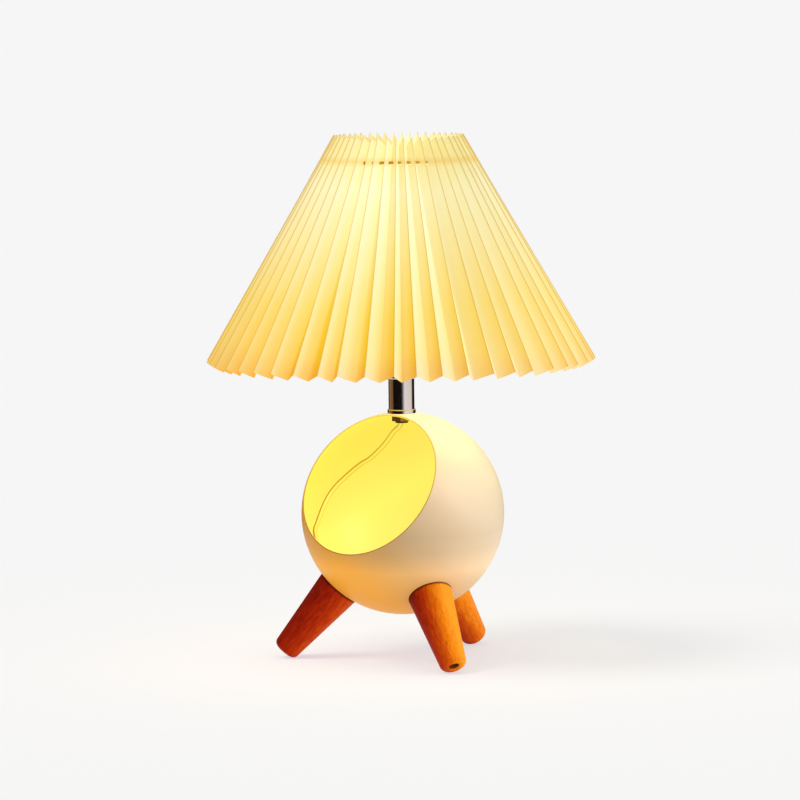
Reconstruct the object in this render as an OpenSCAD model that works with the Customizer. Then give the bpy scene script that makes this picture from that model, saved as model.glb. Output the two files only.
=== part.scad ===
// Table lamp: an open ball on three wooden legs under a pleated shade.
// It stands on z = 0 with its axis on z, and the nook in its ball faces -Y.
// Lengths are in millimetres and angles in degrees.

/* [Ball] */
// Outside diameter of the ball
ball_d = 157; // [150:1:166]
// Wall of the ball
ball_wall = 1.2; // [0.8:0.1:2]
// Distance of the nook's mouth from the middle of the ball
nook_offset = 50.5; // [48:0.5:60]
// Angle at which the nook faces upwards
nook_tilt = 31; // [24:1:36]

/* [Legs] */
// Length of a leg along its axis, from the ball to the end of the foot
leg_len = 65; // [55:1:78]
// Diameter of a leg where it meets the ball
leg_top_d = 34; // [28:1:38]
// Diameter of a leg at its foot
leg_foot_d = 21; // [17:0.5:24]
// Angle between a leg and the vertical
leg_splay = 41; // [37:0.5:44]
// Rounding of the foot's edge
foot_round = 4.5; // [1.5:0.5:5]
// Diameter of the leg screws
leg_screw_d = 4; // [3:0.5:5]
// Diameter of a leg screw's head
leg_head_d = 7; // [6:0.5:8.5]
// Height of a leg screw's head
leg_head_h = 4; // [3:0.5:6]
// Depth of the counterbore in the foot
foot_bore_depth = 25; // [15:1:32]
// Width of the bevel at the mouth of the counterbore
foot_bevel = 1.1; // [0.5:0.1:1.5]
// Diameter of the saddle washers in the ball
saddle_d = 16; // [13:1:20]
// Height of the saddle washers
saddle_h = 2.4; // [2:0.1:4]

/* [Neck] */
// Outside diameter of the neck tube
neck_d = 20; // [18:0.5:24]
// Wall of the neck tube
neck_wall = 1; // [0.6:0.1:1.6]
// Length of the neck tube
neck_len = 23.6; // [15:0.1:40]
// Width by which each neck ring stands out past the tube
ring_lip = 0.9; // [0.5:0.1:1.2]
// Height of each neck ring
ring_h = 2.4; // [1.8:0.1:4]
// Diameter of the hollow threaded rod
rod_d = 10; // [8:0.5:11]
// Bore of the hollow threaded rod
rod_bore = 7.6; // [6:0.1:8]
// Diameter of the washer under the top of the ball
rod_washer_d = 18; // [16:0.5:22]
// Thickness of that washer
rod_washer_t = 1.4; // [1:0.1:2]
// Height of the lock nut
rod_nut_h = 3.6; // [3:0.1:6]

/* [Lampholder] */
// Diameter of the lampholder's barrel
barrel_d = 39; // [37:0.5:42]
// Length of the lampholder's barrel
barrel_len = 34; // [32:0.5:40]
// Height of the lampholder's base cap
cap_h = 24; // [22:0.5:30]
// Wall of the base cap
cap_wall = 2; // [1.6:0.1:2.6]
// Diameter of the ceramic insert
insert_d = 34; // [33:0.5:34.5]
// Height of the ceramic insert
insert_h = 12; // [10:0.5:14]
// Height of the barrel's shoulder above its foot
shoulder_up = 8; // [7:0.5:10]
// Width of the shoulder that carries the shade
shoulder_w = 3.5; // [2.5:0.1:5]
// Thickness of the shoulder
shoulder_t = 2.5; // [2:0.1:4]
// Inside diameter of the brass screw shell
shell_bore = 27.4; // [27:0.1:28]
// Wall of the brass screw shell
shell_wall = 0.6; // [0.4:0.1:0.8]

/* [Bulb] */
// Diameter of the bulb's screw cap
screw_cap_d = 26.4; // [25.5:0.1:26.6]
// Height of the bulb's screw cap
screw_cap_h = 24; // [22:0.5:28]
// Diameter of the bulb's globe
globe_d = 55; // [45:1:60]
// Wall of the globe
globe_wall = 1.2; // [0.8:0.1:2]
// Height of the bulb's plastic collar
collar_h = 24; // [18:0.5:30]

/* [Shade] */
// Diameter of the shade over its ridges at the lower edge
shade_low_d = 300; // [280:1:320]
// Diameter of the shade over its ridges at the upper edge
shade_top_d = 98; // [94:1:106]
// Height of the flat strip, along its folds
strip_h = 200; // [185:1:215]
// Width of one panel of the strip, from ridge to valley
panel_w = 13.8; // [13:0.1:16]
// Number of pleats
pleats = 48; // [44:1:52]
// Thickness of the strip at its edges
strip_t = 0.45; // [0.4:0.05:0.6]
// Distance of the notches below the strip's upper edge
notch_down = 12.5; // [10:0.5:18]
// Height of a notch at its fold
notch_h = 3; // [2.8:0.1:4]
// Share of the panel's width that a notch takes
notch_reach = 0.6; // [0.5:0.05:0.7]
// Height of the wire ring over the fitter
carrier_h = 132; // [125:1:140]
// Diameter of the carrier's wire
wire_d = 2.2; // [2:0.1:2.4]
// Thickness of the fitter's plate
fitter_t = 1.6; // [1.2:0.1:2.4]
// Width of the fitter's plate
fitter_w = 7; // [6:0.5:9]
// Height of the threaded shade ring
shade_ring_h = 8; // [6:0.5:10]
// Wall of the threaded shade ring
shade_ring_wall = 3; // [2:0.1:3.5]

/* [Cord] */
// Width of the twin flex
cord_d = 3.8; // [3.4:0.1:4]
// Turn of the cord's outlet round the lamp's axis
outlet_turn = 112; // [108:1:120]
// Drop of the outlet below the ball's middle
outlet_drop = 27.4; // [20:0.1:32]
// Diameter of the grommet's waist
grommet_d = 8; // [7:0.1:9]
// Diameter of the grommet's flanges
flange_d = 13; // [11:0.5:15]
// Thickness of the grommet's flanges
flange_t = 1.6; // [1.2:0.1:2.4]
// Length of the grommet's tapered sleeve
sleeve_len = 20; // [20:1:24]
// Inner radius of the coil's turns
coil_in_r = 17; // [16:0.5:20]
// Step between turns beside each other
coil_step = 5; // [4.9:0.1:5.4]
// Step between layers of turns
coil_rise = 4.4; // [4.4:0.1:4.8]
// Turns in each layer
coil_turns = 2; // [2:1:3]
// Thickness of the tie round the coil
tie_t = 0.5; // [0.4:0.1:0.8]
// Width of the tie
tie_w = 5; // [4:0.5:6]

/* [Switch] */
// Length of the in-line switch
switch_len = 60; // [52:1:68]
// Width of the in-line switch
switch_w = 24; // [23:0.5:28]
// Height of the in-line switch
switch_h = 17; // [16:0.5:19]
// Height of the switch's base
switch_split = 5; // [5:0.1:6]
// Wall of the switch's housing
switch_wall = 1.8; // [1.4:0.1:2.2]
// Half the length of the rocker
rocker_reach = 6; // [5:0.1:6.5]
// Width of the rocker
rocker_w = 10.4; // [9:0.1:11]
// Tilt of the rocker to each side
rocker_tilt = 12; // [8:1:14]
// Diameter of the rocker's pivot pin
pivot_d = 2; // [1.6:0.1:2.4]

/* [Plug] */
// Length of the plug's body
plug_len = 34; // [30:1:38]
// Width of the plug's body at its face
plug_w = 32; // [28:0.5:35]
// Thickness of the plug's body
plug_t = 13.6; // [11:0.2:14]
// Diameter of the plug's pins
pin_d = 4; // [3.8:0.1:4.8]
// Length of the plug's pins past the face
pin_len = 19; // [17:0.5:20]
// Length of each pin that is bare metal
pin_bare = 9; // [8:0.5:10]
// Distance between the plug's pins
pin_gap = 18.6; // [17:0.1:19]

/* [Fits] */
// Gap at curved faces that seat on each other
seat_gap = 0.05; // [0.02:0.01:0.15]
// Radial gap of a rod, screw or tube in its hole
hole_gap = 0.3; // [0.15:0.05:0.4]
// Radial gap of a cord in its channel
cord_gap = 0.2; // [0.15:0.05:0.4]
// Gap between pieces that move past each other
running_gap = 0.4; // [0.25:0.05:0.5]
// Gap under what hangs or rests on a wire
hang_gap = 0.1; // [0.05:0.05:0.3]

/* [Hidden] */
$fn = 96;
// A cut runs past the face it opens by this much
over = 1;

// Ball and legs
ball_r = ball_d / 2;
ball_in_r = ball_r - ball_wall;
leg_top_r = leg_top_d / 2;
leg_foot_r = leg_foot_d / 2;
leg_end = ball_r + leg_len;
leg_taper = (leg_top_r - leg_foot_r) / leg_len;
leg_turns = [210, 330, 90];
ball_z = (leg_end - foot_round) * cos(leg_splay) + (leg_foot_r - foot_round) * sin(leg_splay) + foot_round;
screw_seat = leg_end - foot_bore_depth;
saddle_face = ball_in_r - saddle_h;
nut_h = 0.8 * leg_screw_d;
nut_d = 2 * leg_screw_d;
screw_tip = saddle_face - nut_h - leg_screw_d / 2;

// Stack up the neck and the lampholder
ring_r = neck_d / 2 + ring_lip;
ring_round = ring_lip;
ring_seat_z = ball_z + sqrt(pow(ball_r, 2) - pow(ring_r, 2));
ring_boss_h = 1.6;
neck_z = ball_z + ball_r + ring_h;
neck_top_z = neck_z + neck_len;
holder_z = neck_top_z + ring_h;
barrel_z = holder_z + cap_h;
insert_z = barrel_z - insert_h / 2;
insert_top_z = barrel_z + insert_h / 2;
shoulder_z = barrel_z + shoulder_up;
fitter_z = shoulder_z + shoulder_t;
fitter_top_z = fitter_z + fitter_t;
barrel_top_z = barrel_z + barrel_len;
washer_top_z = ball_z + sqrt(pow(ball_in_r, 2) - pow(rod_washer_d / 2, 2)) - seat_gap;
rod_nut_z = washer_top_z - rod_washer_t - rod_nut_h;
rod_nut_d = 1.65 * rod_d;
rod_end_z = rod_nut_z - 0.15 * rod_d;
cap_boss_h = 9;
cap_floor_h = 3;
rod_top_z = holder_z + cap_boss_h;
cap_foot_r = ring_r + 1;
cap_bore_r = insert_d / 2 - 2;
shell_r = shell_bore / 2 + shell_wall;
barrel_bore_r = shell_r + hole_gap;
contact_h = 4;
terminal_r = 11;
terminal_d = 3;

// Bulb
bulb_foot_z = insert_top_z + contact_h + hang_gap;
bulb_tip_h = 3;
cap_foot_z = bulb_foot_z + bulb_tip_h;
collar_z = cap_foot_z + screw_cap_h;
globe_seat_z = collar_z + collar_h;
globe_r = globe_d / 2;
globe_mouth_r = 0.9 * globe_r;
globe_z = globe_seat_z + sqrt(pow(globe_r, 2) - pow(globe_mouth_r, 2));

// Shade: the ridge line leans by shade_lean, and each panel's edges are square to its folds
ridge_low_r = shade_low_d / 2;
ridge_top_r = shade_top_d / 2;
shade_lean = asin((ridge_low_r - ridge_top_r) / strip_h);
half_pleat = 180 / pleats;
wire_ring_z = fitter_z + carrier_h;
function fold_depth(r) =
  let (
    t2 = pow(tan(half_pleat), 2),
    q = 1 / pow(cos(shade_lean), 2) + t2
  )
  (r * t2 + sqrt(pow(r * t2, 2) - q * (r * r * t2 - panel_w * panel_w))) / q;
function valley_r(r) = (r - fold_depth(r)) / cos(half_pleat);
function valley_drop(r) = fold_depth(r) * tan(shade_lean);
// Thickness of the strip measured square to a fold, where the panels meet at an angle
function fold_wall(r) =
  strip_t / sin(atan2(valley_r(r) * sin(half_pleat), fold_depth(r) / cos(shade_lean)));
valley_top_r = valley_r(ridge_top_r);
valley_low_r = valley_r(ridge_low_r);
notch_share = notch_down / strip_h;
notch_end_share = (notch_down + notch_h) / strip_h;
notch_r = valley_top_r + notch_share * (valley_low_r - valley_top_r);
wire_ring_r = notch_r + 0.2 * wire_d;
ridge_h = strip_h * cos(shade_lean);
valley_h = ridge_h + valley_drop(ridge_low_r) - valley_drop(ridge_top_r);
valley_top_z = wire_ring_z + wire_d / 2 + hang_gap + notch_share * valley_h;
ridge_top_z = valley_top_z + valley_drop(ridge_top_r);
spoke_turns = [30, 150, 270];
fitter_bore_r = barrel_d / 2 + 2 * hole_gap;
fitter_r = fitter_bore_r + fitter_w;
shade_ring_bore_r = barrel_d / 2 + running_gap;
shade_ring_r = shade_ring_bore_r + shade_ring_wall;
spoke_foot_r = fitter_r - wire_d;

// Cord: points are given as [to the side, behind, up] of the lamp, along the way the cord runs off
cord_r = cord_d / 2;
cord_heading = 126.4;
function laid(p) = [
  p[0] * sin(cord_heading) + p[1] * cos(cord_heading),
  p[1] * sin(cord_heading) - p[0] * cos(cord_heading),
  p[2]
];
outlet_axis = [
  cos(outlet_drop) * cos(outlet_turn), cos(outlet_drop) * sin(outlet_turn), -sin(outlet_drop)
];
function outlet_point(s) = [0, 0, ball_z] + s * outlet_axis;
sleeve_end = ball_r + flange_t + sleeve_len;
sleeve_tip = 1;
switch_at = [35, 190];
cord_entry = 6;
switch_near = switch_at[1] - switch_len / 2;
switch_far = switch_at[1] + switch_len / 2;
coil_out_r = coil_in_r + coil_turns * coil_step;
coil_lead = 90;
coil_at = [switch_at[0] - coil_out_r, switch_far + coil_lead];
link_end = coil_at[1] - 2 * cord_d;
tail_r = 16;
coil_sweep = 360 * coil_turns + 180;
coil_layers = 4;
tie_turn = 202;
coil_z = cord_r + tie_t + seat_gap;
plug_z = coil_z + (coil_layers - 1) * coil_rise + cord_r + hang_gap + plug_t / 2;
plug_at = [coil_at[0] + coil_out_r - tail_r - cord_d, coil_at[1] + tail_r, plug_z];
// The lead's way round the nook's wall, in shares of the ball's inner radius from the ball's middle
nook_way = [
  [-0.317, 0.123, 0.656], [-0.563, 0.226, 0.501], [-0.705, 0.252, 0.43], [-0.828, 0.226, 0.333],
  [-0.931, 0.116, 0.197], [-0.957, -0.019, 0.054], [-0.931, -0.194, -0.14], [-0.886, -0.291, -0.243],
  [-0.802, -0.246, -0.482], [-0.673, -0.065, -0.676], [-0.459, 0.123, -0.825], [-0.259, 0.22, -0.845],
  [-0.155, 0.285, -0.741], [-0.162, 0.362, -0.599], [-0.181, 0.453, -0.457], [-0.237, 0.591, -0.362]
];
inner_route = concat(
  [[0, 0, insert_z], [0, 0, neck_top_z], [0, 0, neck_z], [0, 0, rod_end_z + cord_d]],
  [[-0.5 * cord_d, 0, rod_end_z - 0.65 * cord_d], [-2.4 * cord_d, 0.5 * cord_d, rod_end_z - 2 * cord_d]],
  [for (p = nook_way) [0, 0, ball_z] + ball_in_r * p],
  [for (share = [0.854, 0.931]) outlet_point(share * ball_in_r)],
  [outlet_point(ball_r)]
);
run_route = concat(
  [outlet_point(ball_r), outlet_point(sleeve_end - 0.4 * sleeve_len), outlet_point(sleeve_end + 0.1 * sleeve_len)],
  [
    for (p = [[26, 101, 56], [30, 113, 39], [33, 122.5, 21], [34.5, 132, 8.5], [35, 143, 2.8], [35, 152, 3.4]])
      laid(p)
  ],
  [
    laid([switch_at[0], switch_near - 1, switch_split]),
    laid([switch_at[0], switch_near + cord_entry, switch_split])
  ]
);
link_route = [
  for (p = [
    [switch_at[0], switch_far - cord_entry, switch_split], [switch_at[0], switch_far + 1, switch_split],
    [switch_at[0], switch_far + 12, 3.2], [switch_at[0], switch_far + 24, cord_r],
    [switch_at[0], switch_far + 40, cord_r], [switch_at[0], link_end - 2 * cord_d, coil_z],
    [switch_at[0], link_end, coil_z]
  ])
    laid(p)
];

// Switch
switch_screw_d = 2.5;
switch_post_d = 7;
switch_screw_at = [switch_len / 2 - switch_w / 2 + 1, switch_w / 2 - switch_wall - switch_post_d / 2 + 0.6];
switch_roof_z = switch_h - 4;
pivot_z = switch_h - 6;
window_reach = norm([rocker_reach, switch_h - pivot_z]) * cos(atan2(switch_h - pivot_z, rocker_reach) - rocker_tilt)
  + running_gap;
window_w = rocker_w + 2 * running_gap;
lug_w = 3;
pivot_len = window_w + 1.7 * lug_w;
rocker_stem = 4;

// Plug
pin_core_d = 0.7 * pin_d;
pin_sleeve_d = 0.85 * pin_d;
pin_root = pin_len - pin_bare + over;

// The coil spirals in and out by turns, and climbs a layer in each half turn where it reverses
function coil_radius(k, b) =
  let (way = min(b, 360 * coil_turns) / 360 * coil_step)
  k % 2 == 0 ? coil_out_r - way : coil_in_r + way;
function coil_height(k, b) = coil_z + coil_rise * (k + max(0, b - 360 * coil_turns) / 180);
function coil_point(a) =
  let (k = floor(a / coil_sweep), b = a - k * coil_sweep, r = coil_radius(k, b))
  laid([coil_at[0] + r * cos(a), coil_at[1] + r * sin(a), coil_height(k, b)]);
coil_angle = coil_layers * coil_sweep;
coil_top = coil_z + coil_layers * coil_rise;
turn_points = [for (a = [0:15:coil_angle - 15]) coil_point(a)];
tail_points = [
  for (a = [0:15:90])
    laid([
      coil_at[0] + coil_out_r - tail_r + tail_r * cos(a), coil_at[1] + tail_r * sin(a),
      coil_top + (plug_z - coil_top) * a / 90
    ])
];
coil_route = concat(
  [laid([switch_at[0], link_end, coil_z]), laid([switch_at[0], link_end + cord_d, coil_z])],
  turn_points, tail_points,
  [laid(plug_at), laid([plug_at[0] - cord_entry, plug_at[1], plug_z])]
);
echo(least_gap_in_coil = min([
  for (i = [0:len(turn_points) - 1])
    for (j = [i + 12:1:len(turn_points) - 1]) norm(turn_points[i] - turn_points[j])
]) - cord_d);

// Smooth curve through a route's points, with a number of steps between each two
function curve_at(p, i, u) =
  let (
    b = p[i], c = p[i + 1],
    a = i == 0 ? 2 * b - c : p[i - 1],
    d = i + 2 == len(p) ? 2 * c - b : p[i + 2]
  )
  0.5 * (2 * b + (c - a) * u + (2 * a - 5 * b + 4 * c - d) * u * u + (3 * b - a - 3 * c + d) * u * u * u);
function curve(p, steps) = concat(
  [for (i = [0:len(p) - 2]) for (s = [0:steps - 1]) curve_at(p, i, s / steps)], [p[len(p) - 1]]
);
function unit(v) = v / norm(v);
function heading(p, i) = unit(p[min(i + 1, len(p) - 1)] - p[max(i - 1, 0)]);
function square_to(v, t) = unit(v - (v * t) * t);

// Tube along a row of points, its rings carried along without twisting
module tube(p, d, sides, start) {
  last = len(p) - 1;
  across = [
    for (i = 0, n = square_to(start, heading(p, 0)); i <= last;
      i = i + 1, n = square_to(n, heading(p, min(i, last)))) n
  ];
  corners = [
    for (i = [0:last])
      for (k = [0:sides - 1])
        p[i] + d / 2 * (cos(360 * k / sides) * across[i]
          + sin(360 * k / sides) * cross(heading(p, i), across[i]))
  ];
  skin = [
    for (i = [0:last - 1])
      for (k = [0:sides - 1])
        let (a = i * sides + k, b = i * sides + (k + 1) % sides)
          each [[a, a + sides, b], [b, a + sides, b + sides]]
  ];
  near_end = [for (k = [1:sides - 2]) [0, k, k + 1]];
  far_end = [for (k = [1:sides - 2]) [last * sides, last * sides + k + 1, last * sides + k]];
  polyhedron(corners, concat(skin, near_end, far_end), convexity = 10);
}

module in_ball() {
  translate([0, 0, ball_z]) children();
}

// Puts +Z on a leg's axis, with distances counted from the middle of the ball
module on_leg(turn) {
  in_ball() rotate([0, 180 - leg_splay, turn]) children();
}

module on_outlet() {
  in_ball() rotate([0, 90 + outlet_drop, outlet_turn]) children();
}

module washer(r, bore_r, h) {
  difference() {
    cylinder(r = r, h = h);
    translate([0, 0, -over]) cylinder(r = bore_r, h = h + 2 * over);
  }
}

module ball_shell() {
  color("#f4ecd2") difference() {
    in_ball() sphere(r = ball_r, $fn = 160);
    in_ball() sphere(r = ball_in_r, $fn = 160);
    in_ball() rotate([90 - nook_tilt, 0, 0])
      translate([-ball_d, -ball_d, nook_offset]) cube([2 * ball_d, 2 * ball_d, ball_d]);
    in_ball() cylinder(r = rod_d / 2 + hole_gap, h = ball_d);
    for (turn = leg_turns) on_leg(turn) cylinder(r = leg_screw_d / 2 + hole_gap, h = ball_d);
    on_outlet() cylinder(r = grommet_d / 2 + cord_gap, h = ball_d);
  }
}

// Turned outline of a leg: a straight taper with a rounded foot
module leg_outline() {
  start = sqrt(pow(ball_r, 2) - pow(leg_top_r, 2)) - foot_round;
  polygon([
    [0, start], [leg_top_r + (ball_r - start) * leg_taper, start], [leg_foot_r, leg_end - foot_round],
    [leg_foot_r - foot_round, leg_end], [0, leg_end]
  ]);
  translate([leg_foot_r - foot_round, leg_end - foot_round]) circle(r = foot_round);
}

module leg(turn) {
  bore_r = leg_head_d / 2 + hole_gap;
  color("#c8641e") on_leg(turn) difference() {
    rotate_extrude() leg_outline();
    sphere(r = ball_r + seat_gap, $fn = 160);
    cylinder(r = leg_screw_d / 2 + hole_gap, h = leg_end);
    translate([0, 0, screw_seat]) cylinder(r = bore_r, h = foot_bore_depth + over);
    translate([0, 0, leg_end - foot_bevel]) cylinder(r1 = bore_r, r2 = bore_r + foot_bevel, h = foot_bevel);
  }
}

module leg_front_left() {
  leg(leg_turns[0]);
}

module leg_front_right() {
  leg(leg_turns[1]);
}

module leg_back() {
  leg(leg_turns[2]);
}

module leg_screws() {
  socket = leg_head_h / 2;
  color("#8a8d90") for (turn = leg_turns) on_leg(turn) difference() {
    union() {
      translate([0, 0, screw_tip]) cylinder(d = leg_screw_d, h = screw_seat - screw_tip);
      translate([0, 0, screw_seat]) cylinder(d = leg_head_d, h = leg_head_h);
    }
    translate([0, 0, screw_seat + leg_head_h - socket]) cylinder(d = leg_head_d / 2, h = socket + over, $fn = 6);
  }
}

module leg_saddles() {
  color("#b9bcc0") for (turn = leg_turns) on_leg(turn) intersection() {
    translate([0, 0, saddle_face]) washer(saddle_d / 2, leg_screw_d / 2 + hole_gap, 2 * saddle_h);
    sphere(r = ball_in_r - seat_gap, $fn = 160);
  }
}

module leg_nuts() {
  color("#b9bcc0") for (turn = leg_turns) on_leg(turn) translate([0, 0, saddle_face - nut_h]) difference() {
    cylinder(d = nut_d, h = nut_h, $fn = 6);
    translate([0, 0, -over]) cylinder(r = leg_screw_d / 2 + seat_gap, h = nut_h + 2 * over);
  }
}

module threaded_rod() {
  color("#463829") translate([0, 0, rod_end_z]) washer(rod_d / 2, rod_bore / 2, rod_top_z - rod_end_z);
}

module rod_washer() {
  color("#b9bcc0") translate([0, 0, washer_top_z - rod_washer_t])
    washer(rod_washer_d / 2, rod_d / 2 + hole_gap, rod_washer_t);
}

module rod_nut() {
  color("#463829") translate([0, 0, rod_nut_z]) difference() {
    cylinder(d = rod_nut_d, h = rod_nut_h, $fn = 6);
    translate([0, 0, -over]) cylinder(r = rod_d / 2 + seat_gap, h = rod_nut_h + 2 * over);
  }
}

// Half outline of a neck ring: a rounded lip, and a boss that centres the tube
module neck_ring_outline(h) {
  bore_r = rod_d / 2 + hole_gap;
  translate([bore_r, 0]) square([ring_r - ring_round - bore_r, h]);
  translate([bore_r, 0]) square([ring_r - bore_r, h - ring_round]);
  translate([ring_r - ring_round, h - ring_round]) circle(r = ring_round);
  translate([bore_r, 0]) square([neck_d / 2 - neck_wall - cord_gap - bore_r, h + ring_boss_h]);
}

module neck_base_ring() {
  color("#d8dadd") difference() {
    translate([0, 0, ring_seat_z]) rotate_extrude() neck_ring_outline(neck_z - ring_seat_z);
    in_ball() sphere(r = ball_r + seat_gap, $fn = 160);
  }
}

module neck_tube() {
  color("#d8dadd") translate([0, 0, neck_z]) washer(neck_d / 2, neck_d / 2 - neck_wall, neck_len);
}

module neck_top_ring() {
  color("#d8dadd") translate([0, 0, holder_z]) mirror([0, 0, 1]) rotate_extrude() neck_ring_outline(ring_h);
}

// Half outline of the base cap's outside: a round shoulder over a narrow foot
module cap_outline(r, h, foot_r) {
  bend = r - foot_r;
  square([foot_r, h]);
  translate([0, bend]) square([r, h - bend]);
  intersection() {
    translate([foot_r, bend]) circle(r = bend);
    square([r, bend]);
  }
}

module holder_cap() {
  seat = insert_z - holder_z;
  color("#f2efe6") translate([0, 0, holder_z]) rotate_extrude() difference() {
    cap_outline(barrel_d / 2, cap_h, cap_foot_r);
    difference() {
      translate([0, cap_floor_h]) cap_outline(cap_bore_r, cap_h, cap_foot_r - cap_wall);
      square([rod_d / 2 + hole_gap + cap_wall, cap_boss_h]);
    }
    translate([0, seat]) square([insert_d / 2 + cord_gap, cap_h]);
    translate([0, -over]) square([rod_d / 2 + seat_gap, cap_h]);
  }
}

module holder_barrel() {
  color("#f2efe6") translate([0, 0, barrel_z]) rotate_extrude() difference() {
    union() {
      square([barrel_d / 2, barrel_len]);
      translate([0, shoulder_up]) square([barrel_d / 2 + shoulder_w, shoulder_t]);
    }
    translate([0, -over]) square([insert_d / 2 + cord_gap, insert_h / 2 + over]);
    square([barrel_bore_r, barrel_len + over]);
  }
}

module terminal_places() {
  for (side = [-1, 1]) translate([side * terminal_r, 0, 0]) children();
}

module holder_insert() {
  color("#f7f4ea") translate([0, 0, insert_z]) difference() {
    cylinder(d = insert_d, h = insert_h);
    terminal_places() translate([0, 0, -over]) cylinder(r = terminal_d / 2 + cord_gap, h = insert_h / 2 + over);
  }
}

module holder_shell() {
  shell_h = barrel_len - insert_h / 2 - 6 * shell_wall;
  color("#c9a45a") translate([0, 0, insert_top_z]) rotate_extrude() {
    translate([shell_bore / 2, 0]) square([shell_wall, shell_h]);
    translate([shell_bore / 4, 0]) square([shell_bore / 4, shell_wall]);
  }
}

// Spring tongue that folds back over its own foot
module holder_contact() {
  strip = 0.6;
  reach = 4;
  color("#c9a45a") translate([0, 0, insert_top_z]) rotate([90, 0, 0]) translate([0, 0, -reach / 2])
    linear_extrude(height = reach) {
      translate([-reach, 0]) square([2 * reach, strip]);
      translate([-reach, 0]) square([strip, contact_h]);
      translate([-reach, contact_h - strip]) square([1.75 * reach, strip]);
    }
}

module terminal_screws() {
  color("#b9bcc0") translate([0, 0, insert_z]) terminal_places() {
    cylinder(d = terminal_d, h = insert_h / 3);
    mirror([0, 0, 1]) cylinder(d = 1.8 * terminal_d, h = terminal_d / 2);
  }
}

module shade_fitter() {
  color("#6b5230") translate([0, 0, fitter_z]) washer(fitter_r, fitter_bore_r, fitter_t);
}

module wire_ring(grow) {
  translate([0, 0, wire_ring_z]) rotate_extrude() translate([wire_ring_r, 0]) circle(d = wire_d + grow, $fn = 32);
}

module shade_wire_ring() {
  color("#6b5230") wire_ring(0);
}

// Straight wires from the fitter's plate to the ring, cut to seat on both
module shade_spokes() {
  run = wire_ring_r - wire_d / 2 - spoke_foot_r;
  rise = wire_ring_z - fitter_top_z;
  lean = atan2(run, rise);
  color("#6b5230") for (turn = spoke_turns) difference() {
    rotate([0, 0, turn]) translate([spoke_foot_r, 0, fitter_top_z]) rotate([0, lean, 0])
      translate([0, 0, -wire_d]) cylinder(d = wire_d, h = norm([run, rise]) + wire_d, $fn = 32);
    translate([0, 0, fitter_top_z - 2 * wire_d]) cylinder(r = fitter_r + wire_d, h = 2 * wire_d);
    wire_ring(2 * seat_gap);
  }
}

// Clamping ring with finger grooves round its rim
module shade_ring() {
  grooves = 24;
  groove_d = 2.4;
  color("#f2efe6") translate([0, 0, fitter_top_z]) difference() {
    washer(shade_ring_r, shade_ring_bore_r, shade_ring_h);
    for (i = [0:grooves - 1]) rotate([0, 0, 360 * i / grooves])
      translate([shade_ring_r + groove_d / 4, 0, -over]) cylinder(d = groove_d, h = shade_ring_h + 2 * over, $fn = 24);
  }
}

// Point on a fold: share runs from the upper edge to the lower one, side is out (+1) or in (-1)
function fold_point(turn, top_r, low_r, top_z, h, share, side) =
  let (
    wall = fold_wall(ridge_top_r) + share * (fold_wall(ridge_low_r) - fold_wall(ridge_top_r)),
    r = top_r + share * (low_r - top_r) + side * wall / 2 * cos(shade_lean),
    z = top_z - share * h + side * wall / 2 * sin(shade_lean)
  )
  [r * cos(turn), r * sin(turn), z];
function ridge_point(i, share, side) =
  fold_point(2 * i * half_pleat, ridge_top_r, ridge_low_r, ridge_top_z, ridge_h, share, side);
function valley_point(i, share, side) =
  fold_point((2 * i + 1) * half_pleat, valley_top_r, valley_low_r, valley_top_z, valley_h, share, side);
function notch_corner(i, ridge, side) =
  (1 - notch_reach) * valley_point(i, notch_share, side) + notch_reach * ridge_point(ridge, notch_share, side);
// Eight corners of one pleat on one side of the strip: ridge, valley with its notch, and notch corners
function pleat_points(i, side) = [
  ridge_point(i, 0, side), ridge_point(i, 1, side), valley_point(i, 0, side), valley_point(i, notch_share, side),
  valley_point(i, notch_end_share, side), valley_point(i, 1, side), notch_corner(i, i, side),
  notch_corner(i, i + 1, side)
];

module pleated_shade() {
  // Order of a pleat's corners on one side of the strip, the inner side following the outer one
  sides = 8;
  panel = [[2, 3, 6], [2, 6, 0], [0, 6, 1], [6, 4, 5], [6, 5, 1]];
  edges = [[0, 2], [3, 6], [6, 4], [5, 1]];
  mirrored_panel = [[2, 7, 3], [2, 0, 7], [0, 1, 7], [7, 5, 4], [7, 1, 5]];
  mirrored_edges = [[2, 0], [7, 3], [4, 7], [1, 5]];
  points = [for (i = [0:pleats - 1]) each concat(pleat_points(i, 1), pleat_points(i, -1))];
  function corner(i, k, next) = 2 * sides * ((k < 2 && next ? i + 1 : i) % pleats) + k;
  function skin(i, f, next) = [for (k = f) corner(i, k, next)];
  function lining(f) = [f[2] + sides, f[1] + sides, f[0] + sides];
  function hem(a, b) = [[b, a, a + sides], [b, a + sides, b + sides]];
  faces = [
    for (i = [0:pleats - 1])
      for (half = [[panel, edges, false], [mirrored_panel, mirrored_edges, true]])
        each concat(
          [for (f = half[0]) skin(i, f, half[2])],
          [for (f = half[0]) lining(skin(i, f, half[2]))],
          [for (e = half[1]) each hem(corner(i, e[0], half[2]), corner(i, e[1], half[2]))]
        )
  ];
  color("#f6d97a") polyhedron(points, faces, convexity = 20);
}

// Screw cap with a tapered foot, its thread left plain
module bulb_cap() {
  taper = 4;
  color("#c8cacc") translate([0, 0, cap_foot_z]) {
    cylinder(d1 = 0.6 * screw_cap_d, d2 = screw_cap_d, h = taper);
    translate([0, 0, taper]) cylinder(d = screw_cap_d, h = screw_cap_h - taper);
  }
}

module bulb_contact() {
  color("#b9bcc0") translate([0, 0, bulb_foot_z]) cylinder(d1 = 7, d2 = 0.4 * screw_cap_d, h = bulb_tip_h);
}

module bulb_collar() {
  color("#f7f5ef") translate([0, 0, collar_z]) cylinder(d1 = 1.06 * screw_cap_d, r2 = globe_mouth_r, h = collar_h);
}

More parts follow.
